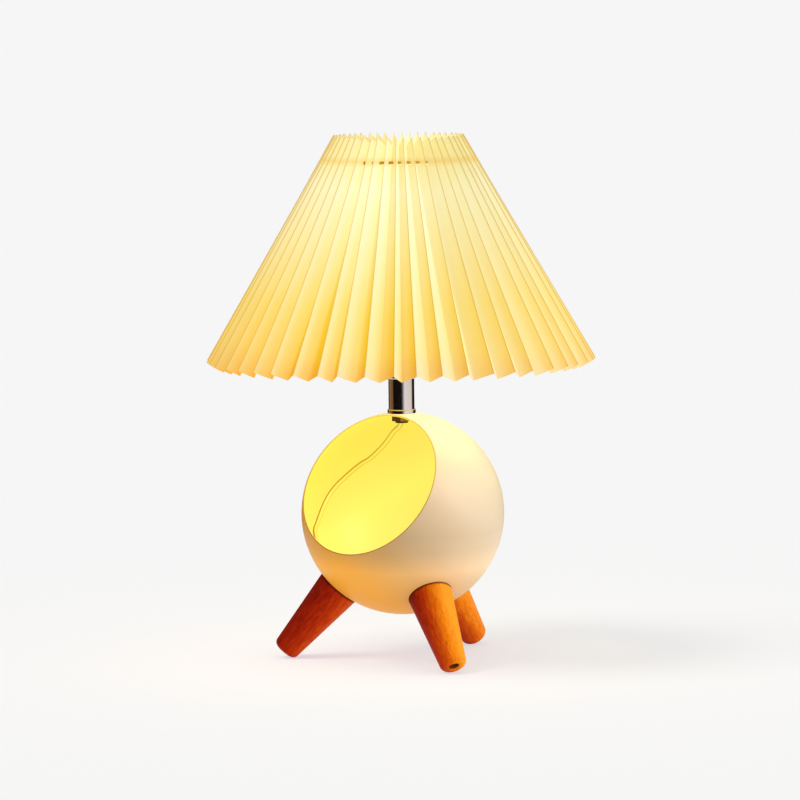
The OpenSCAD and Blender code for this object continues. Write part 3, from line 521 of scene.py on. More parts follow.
@dataclass(frozen=True)
class PleatCloth:
    """Laminated cotton in pleats with painted light from inside: cream above, amber below, a painted dark
    line on each ridge.

    Its threads are drawn about twice as coarse as they are, so that they show.
    """

    name: str = "laminated_pleat_cloth"
    ring: str = "shade_wire_ring"
    lean: float = 0.48
    amber_from: float = 0.12
    amber_to: float = 0.5
    deep_from: float = 0.34
    deep_to: float = 1.0
    line: str = "#d09c10"
    line_part: float = 0.035
    line_share: float = 0.75
    band: str = "#eec448"
    band_mm: float = 4.0
    band_share: float = 0.45
    cloud_mm: float = 60.0
    cloud: float = 0.12
    warp_mm: float = 2.17
    waver: float = 2.0
    weft_mm: float = 1.1
    thread: float = 0.12
    bump_mm: float = 0.12
    glow: float = 0.5
    roughness: float = 0.8
    specular: float = 0.1
    pale: Stops = (
        (0.07, "#fde8b4"), (0.16, "#ffeea8"), (0.35, "#fff2b4"), (0.6, "#fff6c4"), (0.85, "#fffad8"),
        (0.97, "#fef7ce"), (1.0, "#fef6c8"))
    amber: Stops = (
        (0.07, "#f9d680"), (0.17, "#fbe08c"), (0.35, "#fbe592"), (0.6, "#fbeeb4"), (0.85, "#fbf5ca"),
        (1.0, "#faf0b0"))
    painted_shade_tones: Stops = (
        (0.07, "#f4ae28"), (0.17, "#fbc51c"), (0.35, "#fbd238"), (0.6, "#fbe07a"), (0.85, "#fbedaa"),
        (1.0, "#f9e592"))

    def material(self) -> Material:
        """Build the cloth on its own map: u counts panels and is even at ridges, v runs up the folds.

        Returns:
            The material.
        """
        material, tree, shader = blank(self.name)
        place = add(tree, "TexCoord", out="Object")
        strip = add(tree, "SeparateXYZ", {0: add(tree, "UVMap", uv_map="strip")}).node.outputs
        # The way over one pleat, from a ridge past the valley at its right to the next ridge
        half = add(tree, "Math", {0: strip["X"], 1: 0.5}, operation="MULTIPLY")
        way = add(tree, "Math", {0: half}, operation="FRACT")
        cloud = add(tree, "TexNoise", {"Vector": place, "Scale": 1 / (self.cloud_mm * MM), "Detail": 2.0})
        sway = add(tree, "Math", {0: cloud, 1: self.cloud, 2: strip["Y"]}, operation="MULTIPLY_ADD")
        cloth, amber, painted_shade_tones = (
            add(tree, "ValToRGB", {"Fac": sway}, stops=tones) for tones in (self.pale, self.amber, self.painted_shade_tones))
        # Painted light and shade: cloth is pale just past a ridge and deepens up to the next one, less so on
        # the window's side
        level = add(tree, "VectorMath", {0: place, 1: (1.0, 1.0, 0.0)}, operation="MULTIPLY")
        outward = add(tree, "VectorMath", {0: level}, operation="NORMALIZE")
        bright = add(tree, "VectorMath", {0: outward, 1: WINDOW}, operation="DOT_PRODUCT")
        turned = add(tree, "Math", {0: bright, 1: -self.lean, 2: way}, operation="MULTIPLY_ADD")
        first = add(tree, "MapRange", {
            "Value": turned, "From Min": self.amber_from, "From Max": self.amber_to})
        second = add(tree, "MapRange", {
            "Value": turned, "From Min": self.deep_from, "From Max": self.deep_to})
        # Painted shade: a dark line along each ridge's crease
        near = add(tree, "Math", {0: way, 1: 0.5}, operation="PINGPONG")
        fold = add(tree, "MapRange", {
            "Value": near, "From Max": self.line_part, "To Min": self.line_share, "To Max": 0.0})
        # The wire ring's shadow shows as a soft band across the folds
        height = add(tree, "SeparateXYZ", {0: place}, "Z")
        above = add(tree, "Math", {0: height, 1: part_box(self.ring)[1].z}, operation="SUBTRACT")
        apart = add(tree, "Math", {0: above}, operation="ABSOLUTE")
        dusk = add(tree, "MapRange", {
            "Value": apart, "From Max": self.band_mm * MM, "To Min": self.band_share, "To Max": 0.0})
        layers = ((first, amber), (second, painted_shade_tones), (fold, linear(self.line)), (dusk, linear(self.band)))
        for share, tone in layers:
            cloth = add(tree, "Mix", {"Factor": share, "A": cloth, "B": tone}, data_type="RGBA")
        # A wave's bands lie a turn of its angle apart, and the angle grows by 20 to a unit of its scale
        warp = add(tree, "TexWave", {
            "Vector": place, "Scale": math.tau / (20 * self.warp_mm * MM), "Distortion": self.waver}, "Fac",
                   bands_direction="Z")
        weft = add(tree, "TexNoise", {"Vector": place, "Scale": 1 / (self.weft_mm * MM), "Detail": 1.0})
        thread = add(tree, "Math", {0: warp, 1: weft}, operation="MULTIPLY")
        # Painted light: half the cloth's colour glows, as if the bulb shone through it, and it is cream above
        # and amber below
        feed(shader, {
            "Base Color": add(tree, "Mix", {"Factor": self.glow, "A": cloth, "B": BLACK}, data_type="RGBA"),
            "Emission Color": cloth,
            "Emission Strength": self.glow,
            "Normal": add(tree, "Bump", {
                "Height": thread, "Strength": self.thread, "Distance": self.bump_mm * MM}),
            "Roughness": self.roughness,
            "Specular IOR Level": self.specular})
        return material


@dataclass(frozen=True)
class OpalGlow:
    """Opal plastic globe that glows a warm white."""

    name: str = "opal_globe"
    globe: str = "bulb_globe"
    strength: float = 1.2
    roughness: float = 0.35
    tones: Stops = ((0.0, "#ffe6ae"), (0.5, "#fff2cf"), (1.0, "#fff7e0"))

    def material(self) -> Material:
        """Build the glow, a little weaker towards the globe's foot.

        Returns:
            The material.
        """
        material, tree, shader = blank(self.name)
        place = add(tree, "TexCoord", out="Object")
        height = add(tree, "SeparateXYZ", {0: place}, "Z")
        low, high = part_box(self.globe)
        rise = add(tree, "MapRange", {"Value": height, "From Min": low.z, "From Max": high.z})
        warm = add(tree, "ValToRGB", {"Fac": rise}, stops=self.tones)
        feed(shader, {
            "Base Color": warm, "Emission Color": warm, "Emission Strength": self.strength,
            "Roughness": self.roughness})
        return material


@dataclass(frozen=True)
class FlexSkin:
    """Clear golden sheath of twin flex: pale between its cores, darker at the edges from the sheath's depth
    and painted shade, faintly twisted.
    """

    name: str
    middle: str
    edge: str
    edge_from: float
    edge_to: float
    glow: float = 0.0
    strand_mm: float = 2.4
    strands: float = 6.0
    twist: float = math.radians(35)
    waver: float = 0.4
    strand: float = 0.06
    bump_mm: float = 0.1
    roughness: float = 0.28
    coat: float = 0.3

    def material(self) -> Material:
        """Build the sheath on its own map: u runs round the cord, v counts millimetres along it.

        Returns:
            The material.
        """
        material, tree, shader = blank(self.name)
        flat = add(tree, "UVMap", uv_map="cord")
        round_it = add(tree, "SeparateXYZ", {0: flat}, "X")
        # Grows from nothing at both edges of the flex to the most between its cores
        inward = add(tree, "Math", {0: round_it, 1: 0.25}, operation="PINGPONG")
        twist = add(tree, "Mapping", {
            "Vector": flat, "Rotation": (0.0, 0.0, self.twist),
            "Scale": (self.strands, 1 / self.strand_mm, 1.0)})
        strand = add(tree, "TexWave", {"Vector": twist, "Scale": 1.0, "Distortion": self.waver}, "Fac")
        sway = add(tree, "Math", {0: strand, 1: self.strand, 2: inward}, operation="MULTIPLY_ADD")
        tones = ((self.edge_from, self.edge), (self.edge_to, self.middle))
        colour = add(tree, "ValToRGB", {"Fac": sway}, stops=tones)
        feed(shader, {
            "Base Color": add(tree, "Mix", {"Factor": self.glow, "A": colour, "B": BLACK}, data_type="RGBA"),
            "Emission Color": colour,
            "Emission Strength": self.glow,
            "Normal": add(tree, "Bump", {
                "Height": strand, "Strength": self.strand, "Distance": self.bump_mm * MM}),
            "Roughness": self.roughness,
            "Coat Weight": self.coat})
        return material


# Flex on the table, and the stretch in the nook, which glows with painted light as if the nook's light shone
# through it
FLEX = FlexSkin("golden_flex", "#e8c05a", "#b47a16", edge_from=0.11, edge_to=0.21)
LIT_FLEX = FlexSkin("lit_golden_flex", "#fbec5e", "#c08c10", edge_from=0.14, edge_to=0.24, glow=0.6)


@dataclass
class SubAssembly:
    """Pieces that belong together, with the finishes of those solids that keep their shape."""

    finishes: dict[str, Finish] = field(default_factory=dict)

    def build(self) -> list[Piece]:
        """Dress the solids that keep their shape.

        Returns:
            The dressed pieces.
        """
        for name, finish in self.finishes.items():
            dress(NODES[name], finish)
        return [NODES[name] for name in self.finishes]


@dataclass
class Base(SubAssembly):
    """Open ball on three legs, with its screws, rod and neck."""

    finishes: dict[str, Finish] = field(default_factory=lambda: {
        "ball_shell": BallEnamel(),
        # Painted light: one wood on all three legs, set darker on the shaded front left leg and lighter on
        # the lit front right one
        "leg_front_left": StainedWood(210.0, StainAndLight.DEEP),
        "leg_front_right": StainedWood(330.0, StainAndLight.WARM),
        "leg_back": StainedWood(90.0, StainAndLight.MILD),
        "leg_screws": ZINC, "leg_saddles": ZINC, "leg_nuts": ZINC, "rod_washer": ZINC,
        "neck_base_ring": CHROME, "neck_tube": CHROME, "neck_top_ring": CHROME,
        "threaded_rod": BLACK_STEEL, "rod_nut": BRONZED_STEEL})


@dataclass
class Lampholder(SubAssembly):
    """Screw lampholder and the carrier that the shade hangs on."""

    finishes: dict[str, Finish] = field(default_factory=lambda: {
        "holder_cap": HOLDER_PLASTIC, "holder_barrel": HOLDER_PLASTIC, "shade_ring": HOLDER_PLASTIC,
        "holder_insert": PORCELAIN, "holder_shell": BRASS, "holder_contact": BRASS, "terminal_screws": ZINC,
        "shade_fitter": CARRIER_PAINT, "shade_spokes": CARRIER_PAINT, "shade_wire_ring": CARRIER_PAINT})


@dataclass
class SwitchAndPlug(SubAssembly):
    """In-line rocker switch and flat plug."""

    finishes: dict[str, Finish] = field(default_factory=lambda: {
        "switch_base": SWITCH_PLASTIC, "switch_cover": SWITCH_PLASTIC, "switch_rocker": SWITCH_PLASTIC,
        "switch_pivot": ZINC, "switch_contacts": BRASS, "switch_screws": ZINC,
        "plug_body": SWITCH_PLASTIC, "plug_pins": PIN_METAL})


@dataclass
class Bulb(SubAssembly):
    """Opal bulb with a rolled thread on its cap."""

    finishes: dict[str, Finish] = field(default_factory=lambda: {
        "bulb_cap": CAP_METAL, "bulb_contact": ZINC, "bulb_collar": BULB_PLASTIC, "bulb_globe": OpalGlow()})
    thread_r: float = 13.05
    thread_wire: float = 0.55
    thread_sides: int = 10
    thread_up: float = 6.7
    pitch: float = 3.6
    turns: int = 4
    turn_steps: int = 48

    def build(self) -> list[Piece]:
        """Dress the bulb and add the rolled thread.

        Returns:
            The bulb's pieces.
        """
        solids = super().build()
        thread = self.thread()
        dress(thread, CAP_METAL, ROUND)
        seat(thread, BULB, "cap_metal")
        return solids + [thread]

    def thread(self) -> Piece:
        """Wind a small round section up the cap as a screw thread.

        Returns:
            The thread as a mesh piece.
        """
        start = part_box("bulb_cap")[0].z + self.thread_up * MM
        deselect()
        bpy.ops.mesh.primitive_circle_add(
            vertices=self.thread_sides, radius=self.thread_wire * MM, rotation=(math.pi / 2, 0, 0),
            location=(self.thread_r * MM, 0, start))
        piece = bpy.context.object
        piece.name = "bulb_thread"
        bpy.ops.object.transform_apply(location=True, rotation=True, scale=True)
        apply_modifier(
            piece, "SCREW", steps=self.turn_steps, render_steps=self.turn_steps, iterations=self.turns,
            screw_offset=self.pitch * MM, use_normal_calculate=True)
        return piece


@dataclass
class PleatedShade(SubAssembly):
    """One strip of cloth in knife pleats, notched in its valleys over the wire ring."""

    ring: str = "shade_wire_ring"
    pleats: int = 48
    low_r: float = 150.0
    top_r: float = 49.0
    strip_h: float = 200.0
    panel_w: float = 13.8
    cloth_t: float = 0.5
    notch_down: float = 12.5
    notch_h: float = 2.8
    notch_reach: float = 0.6
    hang: float = 0.1
    across: int = 6
    down: int = 26
    bow: float = 0.35
    crease: float = 24.0
    turn: float = math.radians(3.5)
    uneven: float = 0.16
    # Size, pace and start of the two waves that put folds off their even places
    waves: tuple[Point, ...] = ((1.0, 2.3, 0.0), (0.6, 5.1, 1.0))

    def __post_init__(self) -> None:
        """Work out the strip's lean and the half angle of a pleat."""
        self.lean = math.asin((self.low_r - self.top_r) / self.strip_h)
        self.half = math.pi / self.pleats

    def fold_depth(self, r: float) -> float:
        """Find how far a valley lies behind its ridge.

        Args:
            r: Radius of the ridge.

        Returns:
            Radial depth at which a panel keeps its width.
        """
        t2 = math.tan(self.half) ** 2
        q = 1 / math.cos(self.lean) ** 2 + t2
        return (r * t2 + math.sqrt((r * t2) ** 2 - q * (r * r * t2 - self.panel_w ** 2))) / q

    def valley(self, r: float) -> tuple[float, float]:
        """Radius of a valley's end and its drop below the ridge's end."""
        depth = self.fold_depth(r)
        return (r - depth) / math.cos(self.half), depth * math.tan(self.lean)

    def fold_turn(self, fold: int) -> float:
        """Turn a fold a little off its even place.

        Args:
            fold: Number of the fold, even for ridges.

        Returns:
            Its turn in radians.
        """
        number = fold % (2 * self.pleats)
        off = sum(size * math.sin(pace * number + start) for size, pace, start in self.waves)
        return self.turn + (fold + self.uneven * off) * self.half

    def shares(self, start: float, end: float) -> list[float]:
        """Stations down the folds, from the upper edge to the lower one, with one at each end of a notch."""
        rest = [end + (1 - end) * i / self.down for i in range(1, self.down + 1)]
        return [0.0, 0.5 * start, start, end] + rest

    def build(self) -> list[Piece]:
        """Fold the strip, give it its thickness and hang it on the wire ring.

        Returns:
            The shade as a mesh piece, after any dressed solids.
        """
        solids = super().build()
        piece = self.fold()
        apply_modifier(piece, "SOLIDIFY", thickness=self.cloth_t * MM, offset=0.0, use_even_offset=True)
        dress(piece, PleatCloth(), self.crease)
        seat(piece, LAMP, "shade_cloth", "pleated_shade")
        return solids + [piece]

    def fold(self) -> Piece:
        """Lay out the folded strip as quads with a map of its flat cut, leaving the notches open.

        Returns:
            The strip as a mesh without thickness.
        """
        top_valley, top_drop = self.valley(self.top_r)
        low_valley, low_drop = self.valley(self.low_r)
        ridge_h = self.strip_h * math.cos(self.lean)
        valley_h = ridge_h + low_drop - top_drop
        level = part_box(self.ring)[1].z / MM + self.hang
        valley_top = level + self.notch_down / self.strip_h * valley_h
        ridge_top = valley_top + top_drop
        columns = 2 * self.pleats * self.across
        points: list[Point] = []
        stations: list[list[float]] = []
        for c in range(columns):
            panel, part = divmod(c, self.across)
            mix = part / self.across
            mix = 1 - mix if panel % 2 else mix
            # Ridges have even numbers and valleys odd ones
            ridge_turn = self.fold_turn(panel + panel % 2)
            valley_turn = self.fold_turn(panel + 1 - panel % 2)
            bow = self.bow * math.sin(math.pi * mix)
            # A notch is cut level, for the wire to lie in
            tall = ridge_h + mix * (valley_h - ridge_h)
            start = (ridge_top + mix * (valley_top - ridge_top) - level) / tall
            stations.append(self.shares(start, start + self.notch_h / tall))
            for s in stations[c]:
                ridge_r = self.top_r + s * (self.low_r - self.top_r)
                valley_r = top_valley + s * (low_valley - top_valley)
                ridge = self.spot(ridge_turn, ridge_r, ridge_top - s * ridge_h)
                valley = self.spot(valley_turn, valley_r, valley_top - s * valley_h)
                spot = ridge.lerp(valley, mix)
                outward = Vector((spot.x, spot.y, 0)).normalized()
                points.append(tuple((spot + outward * bow * s) * MM))
        rows = len(stations[0])
        notch_row = 2
        cut = self.across * (1 - self.notch_reach)
        faces: list[Face] = []
        places: list[Spot] = []
        for c in range(columns):
            panel, part = divmod(c, self.across)
            from_ridge = self.across - 1 - part if panel % 2 else part
            beside = (c + 1) % columns
            left, right = c / self.across, (c + 1) / self.across
            for r in range(rows - 1):
                if r == notch_row and from_ridge >= cut:
                    continue
                a, b = c * rows + r, beside * rows + r
                faces.append((a, a + 1, b + 1, b))
                places += [(left, 1 - stations[c][r]), (left, 1 - stations[c][r + 1]),
                           (right, 1 - stations[beside][r + 1]), (right, 1 - stations[beside][r])]
        return mesh_piece("pleated_cloth", points, faces, "strip", places)

    @staticmethod
    def spot(turn: float, r: float, z: float) -> Vector:
        """Point at a turn, a radius and a height."""
        return Vector((r * math.cos(turn), r * math.sin(turn), z))


def smooth(points: list[Point | Vector], steps: int) -> list[Vector]:
    """Draw a smooth curve through a row of points.

    Args:
        points: Points that the curve passes.
        steps: Steps from each point to the next.

    Returns:
        The curve's points.
    """
    row = [Vector(p) for p in points]
    row = [2 * row[0] - row[1]] + row + [2 * row[-1] - row[-2]]
    curve = []
    for i in range(1, len(row) - 2):
        a, b, c, d = row[i - 1:i + 3]
        for s in range(steps):
            u = s / steps
            curve.append(0.5 * (2 * b + (c - a) * u + (2 * a - 5 * b + 4 * c - d) * u ** 2
                                + (3 * b - a - 3 * c + d) * u ** 3))
    return curve + [row[-2]]


def length_of(route: list[Vector]) -> float:
    """Length of a route in metres."""
    return sum((b - a).length for a, b in zip(route, route[1:])) * MM


@dataclass
class TwinFlex:
    """Twin flex: two sheathed lobes side by side, swept along a route without twisting."""

    width: float = FLEX_W
    lobe: float = 1.1
    sides: int = 14
    spread: float = 3.0
    waist: float = 0.3
    pinch: float = 0.72

    def section(self) -> list[Spot]:
        """Draw the outline of two round lobes with a waist between them.

        Returns:
            Points round the outline, in millimetres.
        """
        gap = self.width / 2 - self.lobe
        outline = []
        for k in range(self.sides):
            angle = math.tau * k / self.sides
            x, y = math.cos(angle), math.sin(angle)
            shift = math.copysign(gap, x) * min(1.0, abs(x) * self.spread)
            pinch = self.pinch if abs(x) < self.waist else 1.0
            outline.append((self.lobe * x + shift, self.lobe * y * pinch))
        return outline

    def sweep(self, name: str, route: list[Vector], start: Vector) -> Piece:
        """Sweep the section along a route in millimetres.

        Args:
            name: Name of the piece.
            route: Points of the middle line.
            start: Direction of the flex's width where it starts.

        Returns:
            The cord as a mesh tube with a map along its length.
        """
        outline = self.section()
        count, last = len(outline), len(route) - 1
        points: list[Point] = []
        lengths = [0.0]
        across = start
        for i, spot in enumerate(route):
            ahead = (route[min(i + 1, last)] - route[max(i - 1, 0)]).normalized()
            across = (across - across.dot(ahead) * ahead).normalized()
            beside = ahead.cross(across)
            points += [tuple((spot + x * across + y * beside) * MM) for x, y in outline]
            if i:
                lengths.append(lengths[-1] + (spot - route[i - 1]).length)
        faces: list[Face] = []
        places: list[Spot] = []
        for i in range(last):
            for k in range(count):
                n = (k + 1) % count
                faces.append((i * count + k, i * count + n, (i + 1) * count + n, (i + 1) * count + k))
                u, v = k / count, (k + 1) / count
                places += [(u, lengths[i]), (v, lengths[i]), (v, lengths[i + 1]), (u, lengths[i + 1])]
        faces.append(tuple(reversed(range(count))))
        faces.append(tuple(last * count + k for k in range(count)))
        places += [(0.0, 0.0)] * (2 * count)
        return mesh_piece(name, points, faces, "cord", places)


@dataclass
class Cord(SubAssembly):
    """Mains lead: down the rod, round the nook, out of the bush, past the switch, to coil and plug."""

    finishes: dict[str, Finish] = field(default_factory=lambda: {
        "cord_grommet": RUBBER, "cord_tie": TIE_STRAP})
    diameter: float = FLEX_W
    rod_end: float = 70.21
    outlet_turn: float = math.radians(112)
    outlet_drop: float = math.radians(27.4)
    flange: float = 1.6
    sleeve: float = 20.0
    sleeve_in: float = 8.0
    sleeve_out: float = 2.0
    switch_side: float = 35.0
    switch_near: float = 160.0
    switch_far: float = 220.0
    switch_z: float = 5.0
    mouth: float = 1.0
    entry: float = 6.0
    coil_in: float = 17.0
    coil_out: float = 27.0
    coil_step: float = 5.0
    coil_rise: float = 4.4
    coil_turns: int = 2
    coil_layers: int = 4
    coil_behind: float = 310.0
    coil_z: float = 2.45
    coil_degrees: int = 10
    tail_r: float = 16.0
    plug_z: float = 24.45
    steps: int = 6
    link_steps: int = 5
    # Bend under the rod's end, in widths of the flex
    bend_way: tuple[Point, ...] = ((-0.5, 0.0, -0.65), (-2.4, 0.5, -2.0))
    # Way round the nook's wall, in shares of the ball's inner radius from its middle
    nook_way: tuple[Point, ...] = (
        (-0.317, 0.123, 0.656), (-0.563, 0.226, 0.501), (-0.705, 0.252, 0.43), (-0.828, 0.226, 0.333),
        (-0.931, 0.116, 0.197), (-0.957, -0.019, 0.054), (-0.931, -0.194, -0.14), (-0.886, -0.291, -0.243),
        (-0.802, -0.246, -0.482), (-0.673, -0.065, -0.676), (-0.459, 0.123, -0.825), (-0.259, 0.22, -0.845),
        (-0.155, 0.285, -0.741), (-0.162, 0.362, -0.599), (-0.181, 0.453, -0.457), (-0.237, 0.591, -0.362))
    wall_shares: tuple[float, float] = (0.854, 0.931)
    # Way from the bush down to the table, as places beside, behind and up
    drop_way: tuple[Point, ...] = (
        (26.0, 101.0, 56.0), (30.0, 113.0, 39.0), (33.0, 122.5, 21.0), (34.5, 132.0, 8.5), (35.0, 143.0, 2.8),
        (35.0, 152.0, 3.4))
    # Way from the switch on to the table, as distances past it and heights
    link_way: tuple[Spot, ...] = ((12.0, 3.2), (24.0, 1.9), (40.0, 1.9))

    def outlet(self, s: float) -> Vector:
        """Find a point on the outlet's axis.

        Args:
            s: Distance from the ball's middle.

        Returns:
            The point, in millimetres.
        """
        flat, down = math.cos(self.outlet_drop), math.sin(self.outlet_drop)
        axis = Vector((flat * math.cos(self.outlet_turn), flat * math.sin(self.outlet_turn), -down))
        return Vector((0, 0, BALL_Z)) + s * axis

    def inner_route(self) -> list[Vector]:
        """Lead the flex from the lampholder down the rod and round the nook's wall to the bush.

        Returns:
            Points of the route.
        """
        wide, inner_r = self.diameter, BALL_R - BALL_WALL
        end = BALL_Z + self.rod_end
        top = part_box("holder_insert")[0].z / MM
        neck = [corner.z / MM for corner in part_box("neck_tube")]
        rod = [(0, 0, z) for z in (top, neck[1], neck[0], end + wide)]
        bend = [(x * wide, y * wide, end + z * wide) for x, y, z in self.bend_way]
        wall = [Vector((0, 0, BALL_Z)) + inner_r * Vector(share) for share in self.nook_way]
        bush = [self.outlet(share * inner_r) for share in self.wall_shares]
        return smooth(rod + bend + wall + bush + [self.outlet(BALL_R)], self.steps)

    def run_route(self) -> list[Vector]:
        """Lead the flex from the bush down to the table and into the switch.

        Returns:
            Points of the route.
        """
        sleeve_end = BALL_R + self.flange + self.sleeve
        stations = (BALL_R, sleeve_end - self.sleeve_in, sleeve_end + self.sleeve_out)
        bush = [self.outlet(s) for s in stations]
        drop = [laid(*place) for place in self.drop_way]
        ends = (self.switch_near - self.mouth, self.switch_near + self.entry)
        switch = [laid(self.switch_side, behind, self.switch_z) for behind in ends]
        return smooth(bush + drop + switch, self.steps)

    def layer_degrees(self) -> int:
        """Degrees that the turns of one layer of the coil and the climb to the next one take."""
        return 360 * self.coil_turns + 180

    def coil_point(self, angle: float) -> Vector:
        """Find a point of the coil, which spirals in and out and climbs at each reversal.

        Args:
            angle: Degrees from the coil's start.

        Returns:
            The point, in millimetres.
        """
        layer, into = divmod(angle, self.layer_degrees())
        way = min(into, 360 * self.coil_turns) / 360 * self.coil_step
        r = self.coil_out - way if layer % 2 == 0 else self.coil_in + way
        z = self.coil_z + self.coil_rise * (layer + max(0.0, into - 360 * self.coil_turns) / 180)
        side = self.switch_side - self.coil_out
        turn = math.radians(angle)
        return laid(side + r * math.cos(turn), self.coil_behind + r * math.sin(turn), z)

    def store_route(self) -> list[Vector]:
        """Lead the flex from the switch along the table, round the coil and into the plug.

        Returns:
            Points of the route.
        """
        side, behind = self.switch_side, self.coil_behind
        ahead = behind - 2 * self.diameter
        switch = [laid(side, self.switch_far + s, self.switch_z) for s in (-self.entry, self.mouth)]
        table = [laid(side, self.switch_far + s, up) for s, up in self.link_way]
        lift = [laid(side, ahead - s, self.coil_z) for s in (2 * self.diameter, 0.0)]
        link = smooth(switch + table + lift, self.link_steps)
        link.append(laid(side, ahead + self.diameter, self.coil_z))
        total = self.coil_layers * self.layer_degrees()
        turns = [self.coil_point(a) for a in range(0, total, self.coil_degrees)]
        top = self.coil_z + self.coil_layers * self.coil_rise
        tail = []
        for a in range(0, 91, self.coil_degrees):
            turn = math.radians(a)
            across = side - self.tail_r + self.tail_r * math.cos(turn)
            rise = (self.plug_z - top) * a / 90
            tail.append(laid(across, behind + self.tail_r * math.sin(turn), top + rise))
        plug = [laid(side - self.tail_r - s, behind + self.tail_r, self.plug_z)
                for s in (self.diameter, self.diameter + self.entry)]
        return link + turns + tail + plug

    def stretch(self, name: str, route: list[Vector], start: Vector, skin: FlexSkin,
                *nodes: str) -> Piece:
        """Sweep, dress and seat one stretch of flex.

        Args:
            name: Name of the piece.
            route: Points of its middle line, in millimetres.
            start: Direction of the flex's width where it starts.
            skin: Its finish.
            nodes: Solids that it stands for.

        Returns:
            The stretch as a mesh tube.
        """
        piece = TwinFlex(self.diameter).sweep(name, route, start)
        dress(piece, skin, ROUND)
        seat(piece, LAMP, "cord_skin", *nodes)
        return piece

    def build(self) -> list[Piece]:
        """Returns:
            The lead's pieces.
        """
        solids = super().build()
        upright = Vector((0, 0, 1))
        inner, run, store = self.inner_route(), self.run_route(), self.store_route()
        lead = self.stretch("flex_in_nook", inner, Vector(WINDOW), LIT_FLEX, "cord_inner")
        free = self.stretch("flex_to_switch", run, upright, FLEX, "cord_run")
        coil = self.stretch("flex_coil", store, upright, FLEX, "cord_link", "cord_coil")
        length_of(inner)
        [p * MM for p in inner]
        length_of(run)
        [p * MM for p in run]
        length_of(store)
        [p * MM for p in store]
        return solids + [lead, free, coil]


@dataclass(frozen=True)
class Sun:
    """Soft distant lamp: degrees right of the camera and over the floor, and its share of a floor's light."""

    name: str
    turn: float
    height: float
    level: float
    shadow: bool


@dataclass(frozen=True)
class Card:
    """Graded card for polished metal to mirror: degrees right of the camera, and tones from edge to edge."""

    name: str
    turn: float
    tones: Stops


